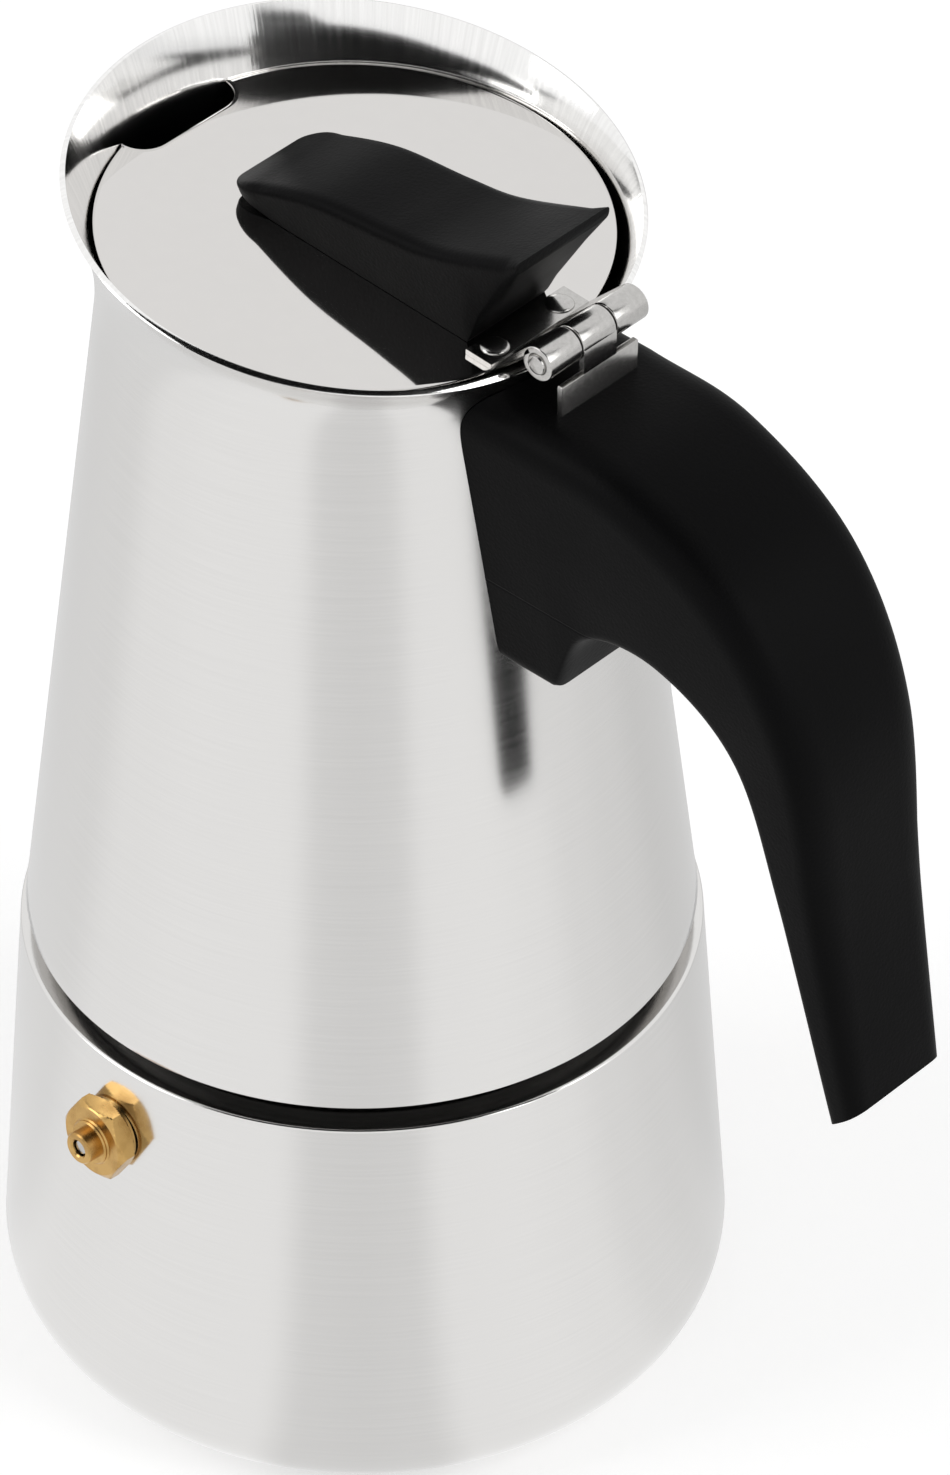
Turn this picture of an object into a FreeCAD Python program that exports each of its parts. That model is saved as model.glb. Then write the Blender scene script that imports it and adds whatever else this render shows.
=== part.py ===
"""Stovetop moka pot: boiler, coffee funnel, screwed-on upper chamber, hinged lid, safety valve.

Millimetres, +Z up. The origin is the centre of the base, the handle lies along +X,
the pouring side along -X, and the lid's hinge pin along Y.
"""
import FreeCAD, Part
import math
import os

from FreeCAD import Vector

# Boiler
BASE_R = 50.0
BASE_CORNER_R = 12.0
BASE_T = 1.6
BOILER_H = 66.0
BOILER_TOP_R = 46.15
SHOULDER_EDGE_R = 1.5
SHEET = 0.8

# Screwed joint between boiler and upper chamber, set in from the boiler's top edge
NECK_INSET = 6.55
NECK_WALL = 2.0
NECK_RISE = 9.0
NECK_DEPTH = 4.0
NECK_FLANGE_W = 2.4
NECK_FLANGE_T = 1.0
THREAD_CLEARANCE = 0.35
THREAD_RIDGE = 0.25
THREAD_PITCH = 3.0
THREAD_TURNS = 2.0
COLLAR_WALL = 1.5
COLLAR_HANG = 2.0
JOINT_GAP = 3.1

# Loose stack inside the joint
SEAT_GAP = 0.1
FUNNEL_CLEARANCE = 0.35
FUNNEL_WALL = 0.6
FUNNEL_DEPTH = 24.0
FUNNEL_FLANGE_T = 0.7
FUNNEL_CONE_H = 4.0
STEM_R = 5.0
STEM_WALL = 0.6
STEM_FLOOR_GAP = 7.0
SCREEN_T = 0.6
GASKET_T = 2.4
GASKET_W = 5.4
GASKET_CLEARANCE = 0.5
FILTER_T = 0.7
HOLE_D = 2.0
HOLE_PITCH = 5.4
FILTER_RINGS = 5
SCREEN_RINGS = 4

# Upper chamber: its foot follows the boiler's top edge, its throat and rim follow the lid
FOOT_INSET = 0.85
UPPER_H = 104.4
THROAT_INSET = 0.63
RIM_RISE = 10.9
RIM_MARGIN = 4.0
RIM_TILT = 8.5
RIM_EDGE_R = 0.2
FLARE_BELLY = 0.44
FLOOR_T = 0.8
WELD_GAP = 0.05
COLUMN_FOOT_R = 9.0
COLUMN_TOP_R = 5.5
COLUMN_H = 66.0
COLUMN_WALL = 0.8
COLUMN_FLANGE_W = 4.0
COLUMN_FLANGE_T = 0.8
CAP_H = 9.0
CAP_T = 0.7
CAP_SLOT_W = 3.0
CAP_SLOT_H = 4.5

# Lid and hinge, both a little above the throat
LID_R = 33.3
LID_RISE = 5.4
LID_TILT = 3.0
LID_T = 0.8
NOTCH_HALF_W = 9.5
NOTCH_DEPTH = 5.0
NOTCH_CORNER_R = 4.0
HINGE_REACH = 6.4
HINGE_RISE = 9.4
HINGE_LENGTH = 18.0
KNUCKLE_R = 2.45
PIN_R = 1.4
PIN_CLEARANCE = 0.05
PIN_PROUD = 0.4
KNUCKLE_GAP = 0.25
MIDDLE_KNUCKLE = 6.0
LEAF_T = 0.8
LID_LEAF_INSET = 5.7
LID_LEAF_BEND_INSET = 1.3
BODY_LEAF_W = 12.0
BODY_LEAF_FLARE_DROP = 3.6
BODY_LEAF_DROP = 24.9
RIVET_R = 1.2
RIVET_HEAD_R = 1.9
RIVET_HEAD_T = 0.6

# Lid knob: places along the lid from the rear of its foot, heights above the lid
KNOB_LEAF_GAP = 1.3
KNOB_FOOT_L = 34.2
KNOB_NOSE = (-41.3, 2.4)
KNOB_CHEEK = (-36.8, 4.6)
KNOB_CROWN = (-26.3, 8.5)
KNOB_WAIST = (-14.3, 10.3)
KNOB_SADDLE = (-5.3, 12.2)
KNOB_TAIL = (8.5, 18.0)
KNOB_NOSE_T = 1.2
KNOB_TAIL_T = 1.8
KNOB_FOOT_HALF_W = 7.2
KNOB_TOP_HALF_W = 8.6
KNOB_NOSE_HALF_W = 5.4
KNOB_CREASE_R = 1.0
SCREW_R = 1.5
SCREW_HEAD_R = 2.8
SCREW_HEAD_T = 1.6
KNOB_SCREW_INSET = 8.3
KNOB_SCREW_PITCH = 18.0
KNOB_SCREW_GRIP = 6.0

# Handle: reach beyond the hinge pin and drop below it
HANDLE_TOP_DROP = 7.9
HANDLE_ROOT_DROP = 48.4
HANDLE_LIP_REACH = 5.3
HANDLE_ROOT_HALF_W = 13.5
HANDLE_TIP_HALF_W = 8.5
HANDLE_SHOULDER = (17.3, 9.3)
HANDLE_ELBOW = (35.3, 19.1)
HANDLE_BACK = (46.3, 37.9)
HANDLE_GRIP = (50.7, 65.9)
HANDLE_TIP_OUT = (55.3, 91.9)
HANDLE_TIP_IN = (50.3, 96.4)
HANDLE_GRIP_IN = (41.8, 62.9)
HANDLE_ELBOW_IN = (34.9, 43.4)
HANDLE_ARCH = (22.3, 35.4)
HANDLE_ARCH_FOOT = (10.3, 37.4)
HANDLE_OUTER_R = 5.0
HANDLE_INNER_R = 2.6
HANDLE_BODY_GAP = 0.1
BRACKET_HALF_W = 5.0
BRACKET_T = 1.5
BRACKET_TOP_DROP = 9.0
BRACKET_FOOT_RISE = 8.5
POCKET_CLEARANCE = 0.3

# Safety valve, along its own outward axis from the boiler wall
VALVE_ANGLE = -92.0
VALVE_DROP = 11.5
VALVE_HEX = 14.0
VALVE_HEX_T = 2.8
VALVE_CHAMFER = 0.5
VALVE_GROOVE_T = 0.8
VALVE_GROOVE_R = 5.6
VALVE_CAP_HEX = 12.0
VALVE_CAP_T = 2.0
VALVE_NIPPLE_R = 2.6
VALVE_NIPPLE_T = 1.8
VALVE_SHANK_R = 4.0
VALVE_SHANK_L = 7.5
VALVE_BORE_R = 2.6
VALVE_MOUTH_R = 1.3
VALVE_NUT_T = 2.4
VALVE_WASHER_T = 0.8
VALVE_WASHER_R = 6.6
VALVE_SEAT_T = 1.0
VALVE_PIN_R = 0.95
VALVE_POPPET_R = 2.0
VALVE_POPPET_T = 1.2
VALVE_TRAVEL = 1.5
SPRING_WIRE_R = 0.25
SPRING_TURNS = 4.0

# Places that follow from the sizes
UP = Vector(0, 0, 1)
ALONG_Y = Vector(0, 1, 0)
BOILER_TAPER = (BASE_R - BOILER_TOP_R) / (BOILER_H - BASE_CORNER_R)
NECK_R = BOILER_TOP_R - NECK_INSET
NECK_TOP_Z = BOILER_H + NECK_RISE
FUNNEL_R = NECK_R - NECK_WALL - FUNNEL_CLEARANCE
COLLAR_R = NECK_R + THREAD_CLEARANCE
FUNNEL_SEAT_Z = NECK_TOP_Z + SEAT_GAP
GASKET_Z = FUNNEL_SEAT_Z + FUNNEL_FLANGE_T + SEAT_GAP
GASKET_R = COLLAR_R - GASKET_CLEARANCE
FILTER_Z = GASKET_Z + GASKET_T + SEAT_GAP
FLOOR_Z = FILTER_Z + FILTER_T + SEAT_GAP
UPPER_FOOT_Z = BOILER_H + JOINT_GAP
UPPER_BASE_R = BOILER_TOP_R - FOOT_INSET
VALVE_Z = BOILER_H - VALVE_DROP
COLLAR_FOOT_Z = UPPER_FOOT_Z - COLLAR_HANG
FUNNEL_FLOOR_Z = FUNNEL_SEAT_Z - FUNNEL_DEPTH
COLUMN_TOP_Z = FLOOR_Z + FLOOR_T + COLUMN_H
THROAT_Z = UPPER_FOOT_Z + UPPER_H
UPPER_TAPER = (UPPER_BASE_R - LID_R + THROAT_INSET) / UPPER_H
RIM_R = LID_R + RIM_MARGIN
RIM_Z = THROAT_Z + RIM_RISE
LID_Z = THROAT_Z + LID_RISE
HINGE_X = LID_R + HINGE_REACH
HINGE_Z = THROAT_Z + HINGE_RISE
HINGE_AXIS = Vector(HINGE_X, 0, HINGE_Z)
LID_LEAF_START = LID_R - LID_LEAF_INSET
LID_LEAF_BEND = LID_R - LID_LEAF_BEND_INSET
BODY_LEAF_END_Z = HINGE_Z - BODY_LEAF_DROP
KNOB_FOOT_REAR = LID_LEAF_START - KNOB_LEAF_GAP
HANDLE_TOP_Z = HINGE_Z - HANDLE_TOP_DROP
HANDLE_ROOT_Z = HINGE_Z - HANDLE_ROOT_DROP
BRACKET_TOP_Z = HANDLE_TOP_Z - BRACKET_TOP_DROP
BRACKET_TAB_Z = HANDLE_ROOT_Z + BRACKET_FOOT_RISE


def cylinder(radius, height, foot, axis=UP):
    """A solid cylinder that stands on foot and grows along axis."""
    return Part.makeCylinder(radius, height, foot, axis)


def ring(outer_r, inner_r, height, foot, axis=UP):
    """A plain ring that stands on foot and grows along axis."""
    return cylinder(outer_r, height, foot, axis).cut(cylinder(inner_r, height, foot, axis))


def box(low, high):
    """A box between two corners."""
    return Part.makeBox(high[0] - low[0], high[1] - low[1], high[2] - low[2], Vector(*low))


def prism(points, direction):
    """A prism of a closed polygon, pushed along direction."""
    wire = Part.makePolygon([Vector(*p) for p in points] + [Vector(*points[0])])
    return Part.Face(wire).extrude(direction)


def turned(points):
    """A solid of revolution about Z from (radius, height) points."""
    wire = Part.makePolygon([Vector(r, 0, z) for r, z in points + points[:1]])
    return Part.Face(wire).revolve(Vector(), UP, 360)


def moved(shape, place, turn):
    """A shape turned about the origin, then carried to a place."""
    shape.Placement = FreeCAD.Placement(place, turn).multiply(shape.Placement)
    return shape


def group(solids):
    """Separate solids in one shape."""
    return Part.makeCompound(solids)


def hexagon(across_flats, height, foot, axis):
    """A hexagonal bar along axis with turned-off corners, one of them in the axis' vertical plane."""
    corner_r = across_flats / math.sqrt(3)
    side = axis.cross(UP).normalize()
    rise = side.cross(axis)
    corners = []
    for step in range(6):
        turn = math.radians(60 * step)
        corners.append(foot + side * (corner_r * math.sin(turn)) + rise * (corner_r * math.cos(turn)))
    flat_r = across_flats / 2
    full_r = flat_r + (corner_r - flat_r) * height / VALVE_CHAMFER
    cones = [Part.makeCone(flat_r, full_r, height, foot, axis),
             Part.makeCone(flat_r, full_r, height, foot + axis * height, axis * -1)]
    return prism(corners, axis * height).common(cones[0]).common(cones[1])


def hole_rings(rings, foot, height):
    """Drills for a plate, on rings of 6, 12, 18 and more holes round a central one."""
    drills = [cylinder(HOLE_D / 2, height, foot)]
    for number in range(1, rings + 1):
        for step in range(6 * number):
            turn = 2 * math.pi * step / (6 * number)
            place = Vector(math.cos(turn), math.sin(turn), 0) * (number * HOLE_PITCH)
            drills.append(cylinder(HOLE_D / 2, height, foot + place))
    return drills


def upper_radius(z):
    """Outer radius of the upper chamber's cone at a height."""
    return UPPER_BASE_R - UPPER_TAPER * (z - UPPER_FOOT_Z)


def boiler_radius(z):
    """Outer radius of the boiler's tapered wall at a height."""
    return BOILER_TOP_R + BOILER_TAPER * (BOILER_H - z)


# Boiler

def boiler_outline(inset, foot_z):
    """Filled boiler form, inset from the outside and standing at foot_z."""
    corner_r = BASE_CORNER_R - inset
    corner = Vector(BASE_R - BASE_CORNER_R, 0, foot_z + corner_r)
    bend = corner + Vector(corner_r * math.sqrt(0.5), 0, -corner_r * math.sqrt(0.5))
    edge_r = SHOULDER_EDGE_R - inset
    top_z = BOILER_H - inset
    top_r = boiler_radius(top_z - edge_r) - inset
    edge = Vector(top_r - edge_r, 0, top_z - edge_r)
    edge_bend = edge + Vector(edge_r * math.sqrt(0.5), 0, edge_r * math.sqrt(0.5))
    foot, side = Vector(corner.x, 0, foot_z), corner + Vector(corner_r, 0, 0)
    wall_top, shoulder = edge + Vector(edge_r, 0, 0), edge + Vector(0, 0, edge_r)
    edges = [
        Part.makeLine(Vector(0, 0, foot_z), foot),
        Part.Arc(foot, bend, side).toShape(),
        Part.makeLine(side, wall_top),
        Part.Arc(wall_top, edge_bend, shoulder).toShape(),
        Part.makeLine(shoulder, Vector(0, 0, top_z)),
        Part.makeLine(Vector(0, 0, top_z), Vector(0, 0, foot_z)),
    ]
    return Part.Face(Part.Wire(edges)).revolve(Vector(), UP, 360)


def valve_frame():
    """Point on the boiler wall and outward axis of the safety valve."""
    turn = math.radians(VALVE_ANGLE)
    lean = math.atan(BOILER_TAPER)
    wall_r = boiler_radius(VALVE_Z)
    place = Vector(wall_r * math.cos(turn), wall_r * math.sin(turn), VALVE_Z)
    axis = Vector(math.cos(turn) * math.cos(lean), math.sin(turn) * math.cos(lean), math.sin(lean))
    return place, axis


def boiler_shell():
    shell = boiler_outline(0, 0).cut(boiler_outline(SHEET, BASE_T))
    mouth = cylinder(NECK_R, NECK_DEPTH, Vector(0, 0, BOILER_H - NECK_DEPTH / 2))
    place, axis = valve_frame()
    port = cylinder(VALVE_SHANK_R, VALVE_SHANK_L * 2, place - axis * VALVE_SHANK_L, axis)
    return shell.cut([mouth, port])


def boiler_neck():
    foot_z = BOILER_H - NECK_DEPTH
    flange_z = BOILER_H - SHEET - NECK_FLANGE_T
    tube = ring(NECK_R, NECK_R - NECK_WALL, NECK_DEPTH + NECK_RISE, Vector(0, 0, foot_z))
    flange = ring(NECK_R + NECK_FLANGE_W, NECK_R - NECK_WALL / 2, NECK_FLANGE_T, Vector(0, 0, flange_z))
    return tube.fuse(flange).removeSplitter().fuse(thread_ridge())


def thread_ridge():
    """Rounded thread on the neck, its root sunk into the wall."""
    rise = THREAD_PITCH * THREAD_TURNS
    path = Part.Wire(Part.makeHelix(THREAD_PITCH, rise, NECK_R).Edges)
    half = THREAD_PITCH / 4
    crest, root = NECK_R + THREAD_RIDGE, NECK_R - THREAD_RIDGE
    low, top, high = Vector(root, 0, -half), Vector(crest, 0, 0), Vector(root, 0, half)
    section = Part.Wire([Part.Arc(low, top, high).toShape(), Part.makeLine(high, low)])
    ridge = path.makePipeShell([section], True, True)
    ridge.translate(UP * (BOILER_H + (NECK_RISE - rise) / 2))
    return ridge


def safety_valve():
    """The valve's six pieces, laid out along its axis from the wall."""
    wall, axis = valve_frame()

    def at(distance):
        return wall + axis * distance

    cap_z = VALVE_HEX_T + VALVE_GROOVE_T
    nipple_z = cap_z + VALVE_CAP_T
    tip_z = nipple_z + VALVE_NIPPLE_T
    shank_end = -VALVE_SHANK_L
    poppet_z = shank_end + VALVE_SEAT_T + SEAT_GAP
    hoop_r = boiler_radius(VALVE_Z) - SHEET
    shell_back = -SHEET - (hoop_r - math.sqrt(hoop_r ** 2 - VALVE_WASHER_R ** 2)) - WELD_GAP

    body = hexagon(VALVE_HEX, VALVE_HEX_T, at(0), axis)
    body = body.fuse([cylinder(VALVE_GROOVE_R, VALVE_GROOVE_T, at(VALVE_HEX_T), axis),
                      cylinder(VALVE_SHANK_R, VALVE_SHANK_L, at(shank_end), axis)]).removeSplitter()
    bore_l = cap_z - shank_end - VALVE_SEAT_T
    body = body.cut([cylinder(VALVE_BORE_R, bore_l, at(shank_end + VALVE_SEAT_T), axis),
                     cylinder(VALVE_MOUTH_R, VALVE_SEAT_T, at(shank_end), axis)])

    cap = hexagon(VALVE_CAP_HEX, VALVE_CAP_T, at(cap_z), axis)
    cap = cap.fuse(cylinder(VALVE_NIPPLE_R, VALVE_NIPPLE_T, at(nipple_z), axis)).removeSplitter()
    cap = cap.cut(cylinder(VALVE_MOUTH_R, tip_z - cap_z, at(cap_z), axis))

    stem_l = tip_z - VALVE_TRAVEL - VALVE_NIPPLE_T / 4 - poppet_z
    pin = cylinder(VALVE_POPPET_R, VALVE_POPPET_T, at(poppet_z), axis)
    pin = pin.fuse(cylinder(VALVE_PIN_R, stem_l, at(poppet_z), axis)).removeSplitter()

    nut_z = shell_back - VALVE_WASHER_T - VALVE_NUT_T
    nut = hexagon(VALVE_HEX, VALVE_NUT_T, at(nut_z), axis)
    nut = nut.cut(cylinder(VALVE_SHANK_R, VALVE_NUT_T, at(nut_z), axis))
    washer = ring(VALVE_WASHER_R, VALVE_SHANK_R, VALVE_WASHER_T, at(shell_back - VALVE_WASHER_T), axis)

    spring_foot = poppet_z + VALVE_POPPET_T + SPRING_WIRE_R + SEAT_GAP
    spring_top = cap_z - SPRING_WIRE_R - SEAT_GAP
    coil_r = (VALVE_PIN_R + VALVE_BORE_R) / 2
    spring = coil(coil_r, spring_foot, spring_top, SPRING_TURNS, SPRING_WIRE_R)
    spring = moved(spring, wall, FreeCAD.Rotation(UP, axis))
    return {"valve_body": body, "valve_cap": cap, "valve_pin": pin, "valve_nut": nut,
            "valve_washer": washer, "valve_spring": spring}


def coil(radius, foot_z, top_z, turns, wire_r):
    """A helical spring about Z, one unbroken tube."""
    path = Part.makeHelix((top_z - foot_z) / turns, top_z - foot_z, radius)
    start = Vector(radius, 0, 0)
    section = Part.Wire(Part.Circle(start, ALONG_Y, wire_r).toShape())
    spring = Part.Wire(path.Edges).makePipeShell([section], True, True)
    spring.translate(Vector(0, 0, foot_z))
    return spring


# Coffee funnel and the stack above it

def funnel_basket():
    flange_r = GASKET_R
    top_z = FUNNEL_SEAT_Z + FUNNEL_FLANGE_T
    cone_z = FUNNEL_FLOOR_Z - FUNNEL_CONE_H
    outer = turned([(0, cone_z), (STEM_R, cone_z), (FUNNEL_R, FUNNEL_FLOOR_Z), (FUNNEL_R, FUNNEL_SEAT_Z),
                    (flange_r, FUNNEL_SEAT_Z), (flange_r, top_z), (0, top_z)])
    inner_r = FUNNEL_R - FUNNEL_WALL
    bore_r = STEM_R - STEM_WALL
    inner = turned([(0, cone_z), (bore_r, cone_z), (bore_r, cone_z + FUNNEL_WALL),
                    (inner_r, FUNNEL_FLOOR_Z + FUNNEL_WALL), (inner_r, top_z), (0, top_z)])
    return outer.cut(inner)


def funnel_stem():
    foot_z = BASE_T + STEM_FLOOR_GAP
    length = FUNNEL_FLOOR_Z - FUNNEL_CONE_H - foot_z
    return ring(STEM_R, STEM_R - STEM_WALL, length, Vector(0, 0, foot_z))


def funnel_screen():
    foot = Vector(0, 0, FUNNEL_FLOOR_Z + FUNNEL_WALL)
    radius = FUNNEL_R - FUNNEL_WALL - WELD_GAP
    return cylinder(radius, SCREEN_T, foot).cut(hole_rings(SCREEN_RINGS, foot, SCREEN_T))


def gasket():
    return ring(GASKET_R, GASKET_R - GASKET_W, GASKET_T, Vector(0, 0, GASKET_Z))


def filter_plate():
    foot = Vector(0, 0, FILTER_Z)
    return cylinder(GASKET_R, FILTER_T, foot).cut(hole_rings(FILTER_RINGS, foot, FILTER_T))


# Upper chamber

def rim_circle(inset):
    """The oblique rim, higher on the pouring side."""
    tilt = math.radians(RIM_TILT)
    normal = Vector(math.sin(tilt), 0, math.cos(tilt))
    return Part.Wire(Part.Circle(Vector(0, 0, RIM_Z), normal, RIM_R - inset).toShape())


def chamber_form(inset, foot_z):
    """Filled cone and flare of the upper chamber, inset from the outside."""
    throat_r = upper_radius(THROAT_Z) - inset
    cone = Part.makeCone(upper_radius(foot_z) - inset, throat_r, THROAT_Z - foot_z, Vector(0, 0, foot_z))
    tilt = math.radians(RIM_TILT / 2)
    belly_r = throat_r + FLARE_BELLY * (RIM_R - inset - throat_r)
    belly_normal = Vector(math.sin(tilt), 0, math.cos(tilt))
    belly = Part.Circle(Vector(0, 0, (THROAT_Z + RIM_Z) / 2), belly_normal, belly_r)
    throat = Part.Circle(Vector(0, 0, THROAT_Z), UP, throat_r)
    sections = [Part.Wire(throat.toShape()), Part.Wire(belly.toShape()), rim_circle(inset)]
    return cone.fuse(Part.makeLoft(sections, True))


def upper_shell():
    hollow = chamber_form(SHEET, UPPER_FOOT_Z + SHEET)
    mouth = cylinder(COLLAR_R + COLLAR_WALL, SHEET, Vector(0, 0, UPPER_FOOT_Z))
    shell = chamber_form(0, UPPER_FOOT_Z).cut([hollow, mouth])
    rim = [e for e in shell.Edges if e.BoundBox.ZMin > THROAT_Z and e.BoundBox.ZMax > RIM_Z + SHEET]
    return shell.makeFillet(RIM_EDGE_R, rim)


def threaded_collar():
    foot = Vector(0, 0, COLLAR_FOOT_Z)
    return ring(COLLAR_R + COLLAR_WALL, COLLAR_R, FLOOR_Z - COLLAR_FOOT_Z, foot)


def chamber_floor():
    foot = Vector(0, 0, FLOOR_Z)
    floor_r = upper_radius(FLOOR_Z + FLOOR_T) - SHEET - WELD_GAP
    return ring(floor_r, COLUMN_FOOT_R, FLOOR_T, foot)


def riser_column():
    foot_z = FLOOR_Z + FLOOR_T
    flange_r = COLUMN_FOOT_R + COLUMN_FLANGE_W
    shoulder_z = foot_z + COLUMN_FLANGE_T
    outer = [(COLUMN_FOOT_R - COLUMN_WALL, foot_z), (flange_r, foot_z), (flange_r, shoulder_z),
             (COLUMN_FOOT_R, shoulder_z), (COLUMN_TOP_R, COLUMN_TOP_Z)]
    inner = [(COLUMN_TOP_R - COLUMN_WALL, COLUMN_TOP_Z)]
    return turned(outer + inner)


def riser_cap():
    foot = Vector(0, 0, COLUMN_TOP_Z)
    cap = cylinder(COLUMN_TOP_R, CAP_H, foot)
    cap = cap.fuse(Part.makeSphere(COLUMN_TOP_R, foot + Vector(0, 0, CAP_H), UP, 0, 90)).removeSplitter()
    bore = cylinder(COLUMN_TOP_R - CAP_T, CAP_H, foot)
    slot_z = COLUMN_TOP_Z + (CAP_H - CAP_SLOT_H) / 2
    half = CAP_SLOT_W / 2
    outlets = box((-COLUMN_TOP_R, -half, slot_z), (COLUMN_TOP_R, half, slot_z + CAP_SLOT_H))
    return cap.cut([bore, outlets])


# Lid, its hinge and knob

def to_lid(shape):
    """Lays a shape made in the lid's own frame onto the tilted lid."""
    return moved(shape, Vector(0, 0, LID_Z), FreeCAD.Rotation(ALONG_Y, LID_TILT))


def lid_plate():
    plate = cylinder(LID_R, LID_T, Vector())
    edge_x = -LID_R + NOTCH_DEPTH
    notch = box((-2 * LID_R, -NOTCH_HALF_W, 0), (edge_x, NOTCH_HALF_W, LID_T))
    upright = [e for e in notch.Edges if e.BoundBox.ZLength > LID_T / 2]
    corners = [e for e in upright if e.CenterOfMass.x > edge_x - LID_T]
    plate = plate.cut(notch.makeFillet(NOTCH_CORNER_R, corners))
    drills = [cylinder(SCREW_R, LID_T, Vector(x, 0, 0)) for x in knob_screw_places()]
    drills += [cylinder(RIVET_R, LID_T, Vector(x, y, 0)) for x, y in rivet_places()]
    return to_lid(plate.cut(drills))


def rivet_places():
    """Middle of the lid leaf's foot, one rivet under each arm."""
    x = (LID_LEAF_START + LID_LEAF_BEND) / 2
    y = (MIDDLE_KNUCKLE + HINGE_LENGTH) / 4
    return [(x, -y), (x, y)]


def lid_rivets():
    rivets = []
    for x, y in rivet_places():
        shank = cylinder(RIVET_R, LID_T + LEAF_T, Vector(x, y, 0))
        heads = [cylinder(RIVET_HEAD_R, RIVET_HEAD_T, Vector(x, y, LID_T + LEAF_T)),
                 cylinder(RIVET_HEAD_R, RIVET_HEAD_T, Vector(x, y, -RIVET_HEAD_T))]
        rivets.append(shank.fuse(heads).removeSplitter())
    return to_lid(group(rivets))


def knuckle(length, start_y):
    """A rolled hinge knuckle on the pin's axis."""
    foot = HINGE_AXIS + ALONG_Y * start_y
    return ring(KNUCKLE_R, PIN_R + PIN_CLEARANCE, length, foot, ALONG_Y)


def lid_hinge_leaf():
    """Foot on the lid, two ramped arms and the two outer knuckles."""
    half = HINGE_LENGTH / 2
    inner = MIDDLE_KNUCKLE / 2 + KNUCKLE_GAP
    start = Vector(LID_LEAF_START, 0, LID_T)
    bend = Vector(LID_LEAF_BEND, 0, LID_T)
    tilt = FreeCAD.Placement(Vector(0, 0, LID_Z), FreeCAD.Rotation(ALONG_Y, LID_TILT))
    start, bend = tilt.multVec(start), tilt.multVec(bend)
    reach = HINGE_AXIS - bend
    lean = math.atan2(reach.z, reach.x)
    ramp = lean + math.asin((KNUCKLE_R - LEAF_T) / reach.Length)
    up_lid = Vector(math.sin(math.radians(LID_TILT)), 0, math.cos(math.radians(LID_TILT))) * LEAF_T
    up_ramp = Vector(-math.sin(ramp), 0, math.cos(ramp))
    touch = HINGE_AXIS + up_ramp * (KNUCKLE_R - LEAF_T)
    profile = [start, bend, touch, touch + up_ramp * LEAF_T, bend + up_lid, start + up_lid]
    leaf = prism([(p.x, -half, p.z) for p in profile], ALONG_Y * HINGE_LENGTH)
    bore = cylinder(PIN_R + PIN_CLEARANCE, HINGE_LENGTH, HINGE_AXIS - ALONG_Y * half, ALONG_Y)
    window = box((bend.x, -inner, 0), (HINGE_X + 2 * KNUCKLE_R, inner, 2 * HINGE_Z))
    rolls = [knuckle(half - inner, -half), knuckle(half - inner, inner)]
    leaf = leaf.cut([bore, window]).fuse(rolls).removeSplitter()
    drills = [to_lid(cylinder(RIVET_R, 2 * LEAF_T, Vector(x, y, LID_T / 2))) for x, y in rivet_places()]
    return leaf.cut(drills)


def hinge_pin():
    length = HINGE_LENGTH + 2 * PIN_PROUD
    return cylinder(PIN_R, length, HINGE_AXIS - ALONG_Y * (length / 2), ALONG_Y)


def knob_screw_places():
    """Two screws along the knob's foot."""
    rear = KNOB_FOOT_REAR - KNOB_SCREW_INSET
    return [rear - KNOB_SCREW_PITCH, rear]


def knob_screws():
    screws = []
    for x in knob_screw_places():
        shank = cylinder(SCREW_R, LID_T + KNOB_SCREW_GRIP, Vector(x, 0, 0))
        head = cylinder(SCREW_HEAD_R, SCREW_HEAD_T, Vector(x, 0, -SCREW_HEAD_T))
        screws.append(shank.fuse(head).removeSplitter())
    return to_lid(group(screws))


def knob_section(place, top_half_w):
    """Section of the knob at a place of its top line: leaning flanks and creased top corners."""
    x, top_z = KNOB_FOOT_REAR + place[0], LID_T + place[1]
    foot_half_w = KNOB_FOOT_HALF_W * top_half_w / KNOB_TOP_HALF_W
    flank = Vector(0, top_half_w - foot_half_w, place[1])
    edges = []
    ends = []
    for side in (-1, 1):
        corner = Vector(x, side * top_half_w, top_z)
        slope = Vector(0, side * flank.y, flank.z)
        foot = corner - slope * 2
        low = corner - slope.normalize() * KNOB_CREASE_R
        high = corner - ALONG_Y * (side * KNOB_CREASE_R)
        bend = corner + (low + high - corner * 2) * (1 - math.sqrt(0.5))
        edges += [Part.makeLine(foot, low), Part.Arc(low, bend, high).toShape()]
        ends.append((foot, high))
    edges += [Part.makeLine(left, right) for left, right in zip(*ends)]
    return Part.Wire(Part.__sortEdges__(edges))


def lid_knob():
    """Wedge with a saddle top, lofted from nose to tail and trimmed to its side profile."""
    sections = [knob_section(KNOB_NOSE, KNOB_NOSE_HALF_W)]
    sections += [knob_section(place, KNOB_TOP_HALF_W)
                 for place in (KNOB_CHEEK, KNOB_CROWN, KNOB_WAIST, KNOB_SADDLE, KNOB_TAIL)]
    reach, high = 2 * KNOB_TOP_HALF_W, 2 * KNOB_TAIL[1]
    side = [(KNOB_NOSE[0], KNOB_NOSE[1] - KNOB_NOSE_T), (-KNOB_FOOT_L, 0), (0, 0),
            (KNOB_TAIL[0], KNOB_TAIL[1] - KNOB_TAIL_T), (KNOB_TAIL[0], high), (KNOB_NOSE[0], high)]
    slab = prism([(KNOB_FOOT_REAR + x, -reach, LID_T + z) for x, z in side], ALONG_Y * (2 * reach))
    knob = Part.makeLoft(sections, True).common(slab)
    drills = [cylinder(SCREW_R, KNOB_SCREW_GRIP, Vector(x, 0, LID_T)) for x in knob_screw_places()]
    return to_lid(knob.cut(drills))


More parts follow.
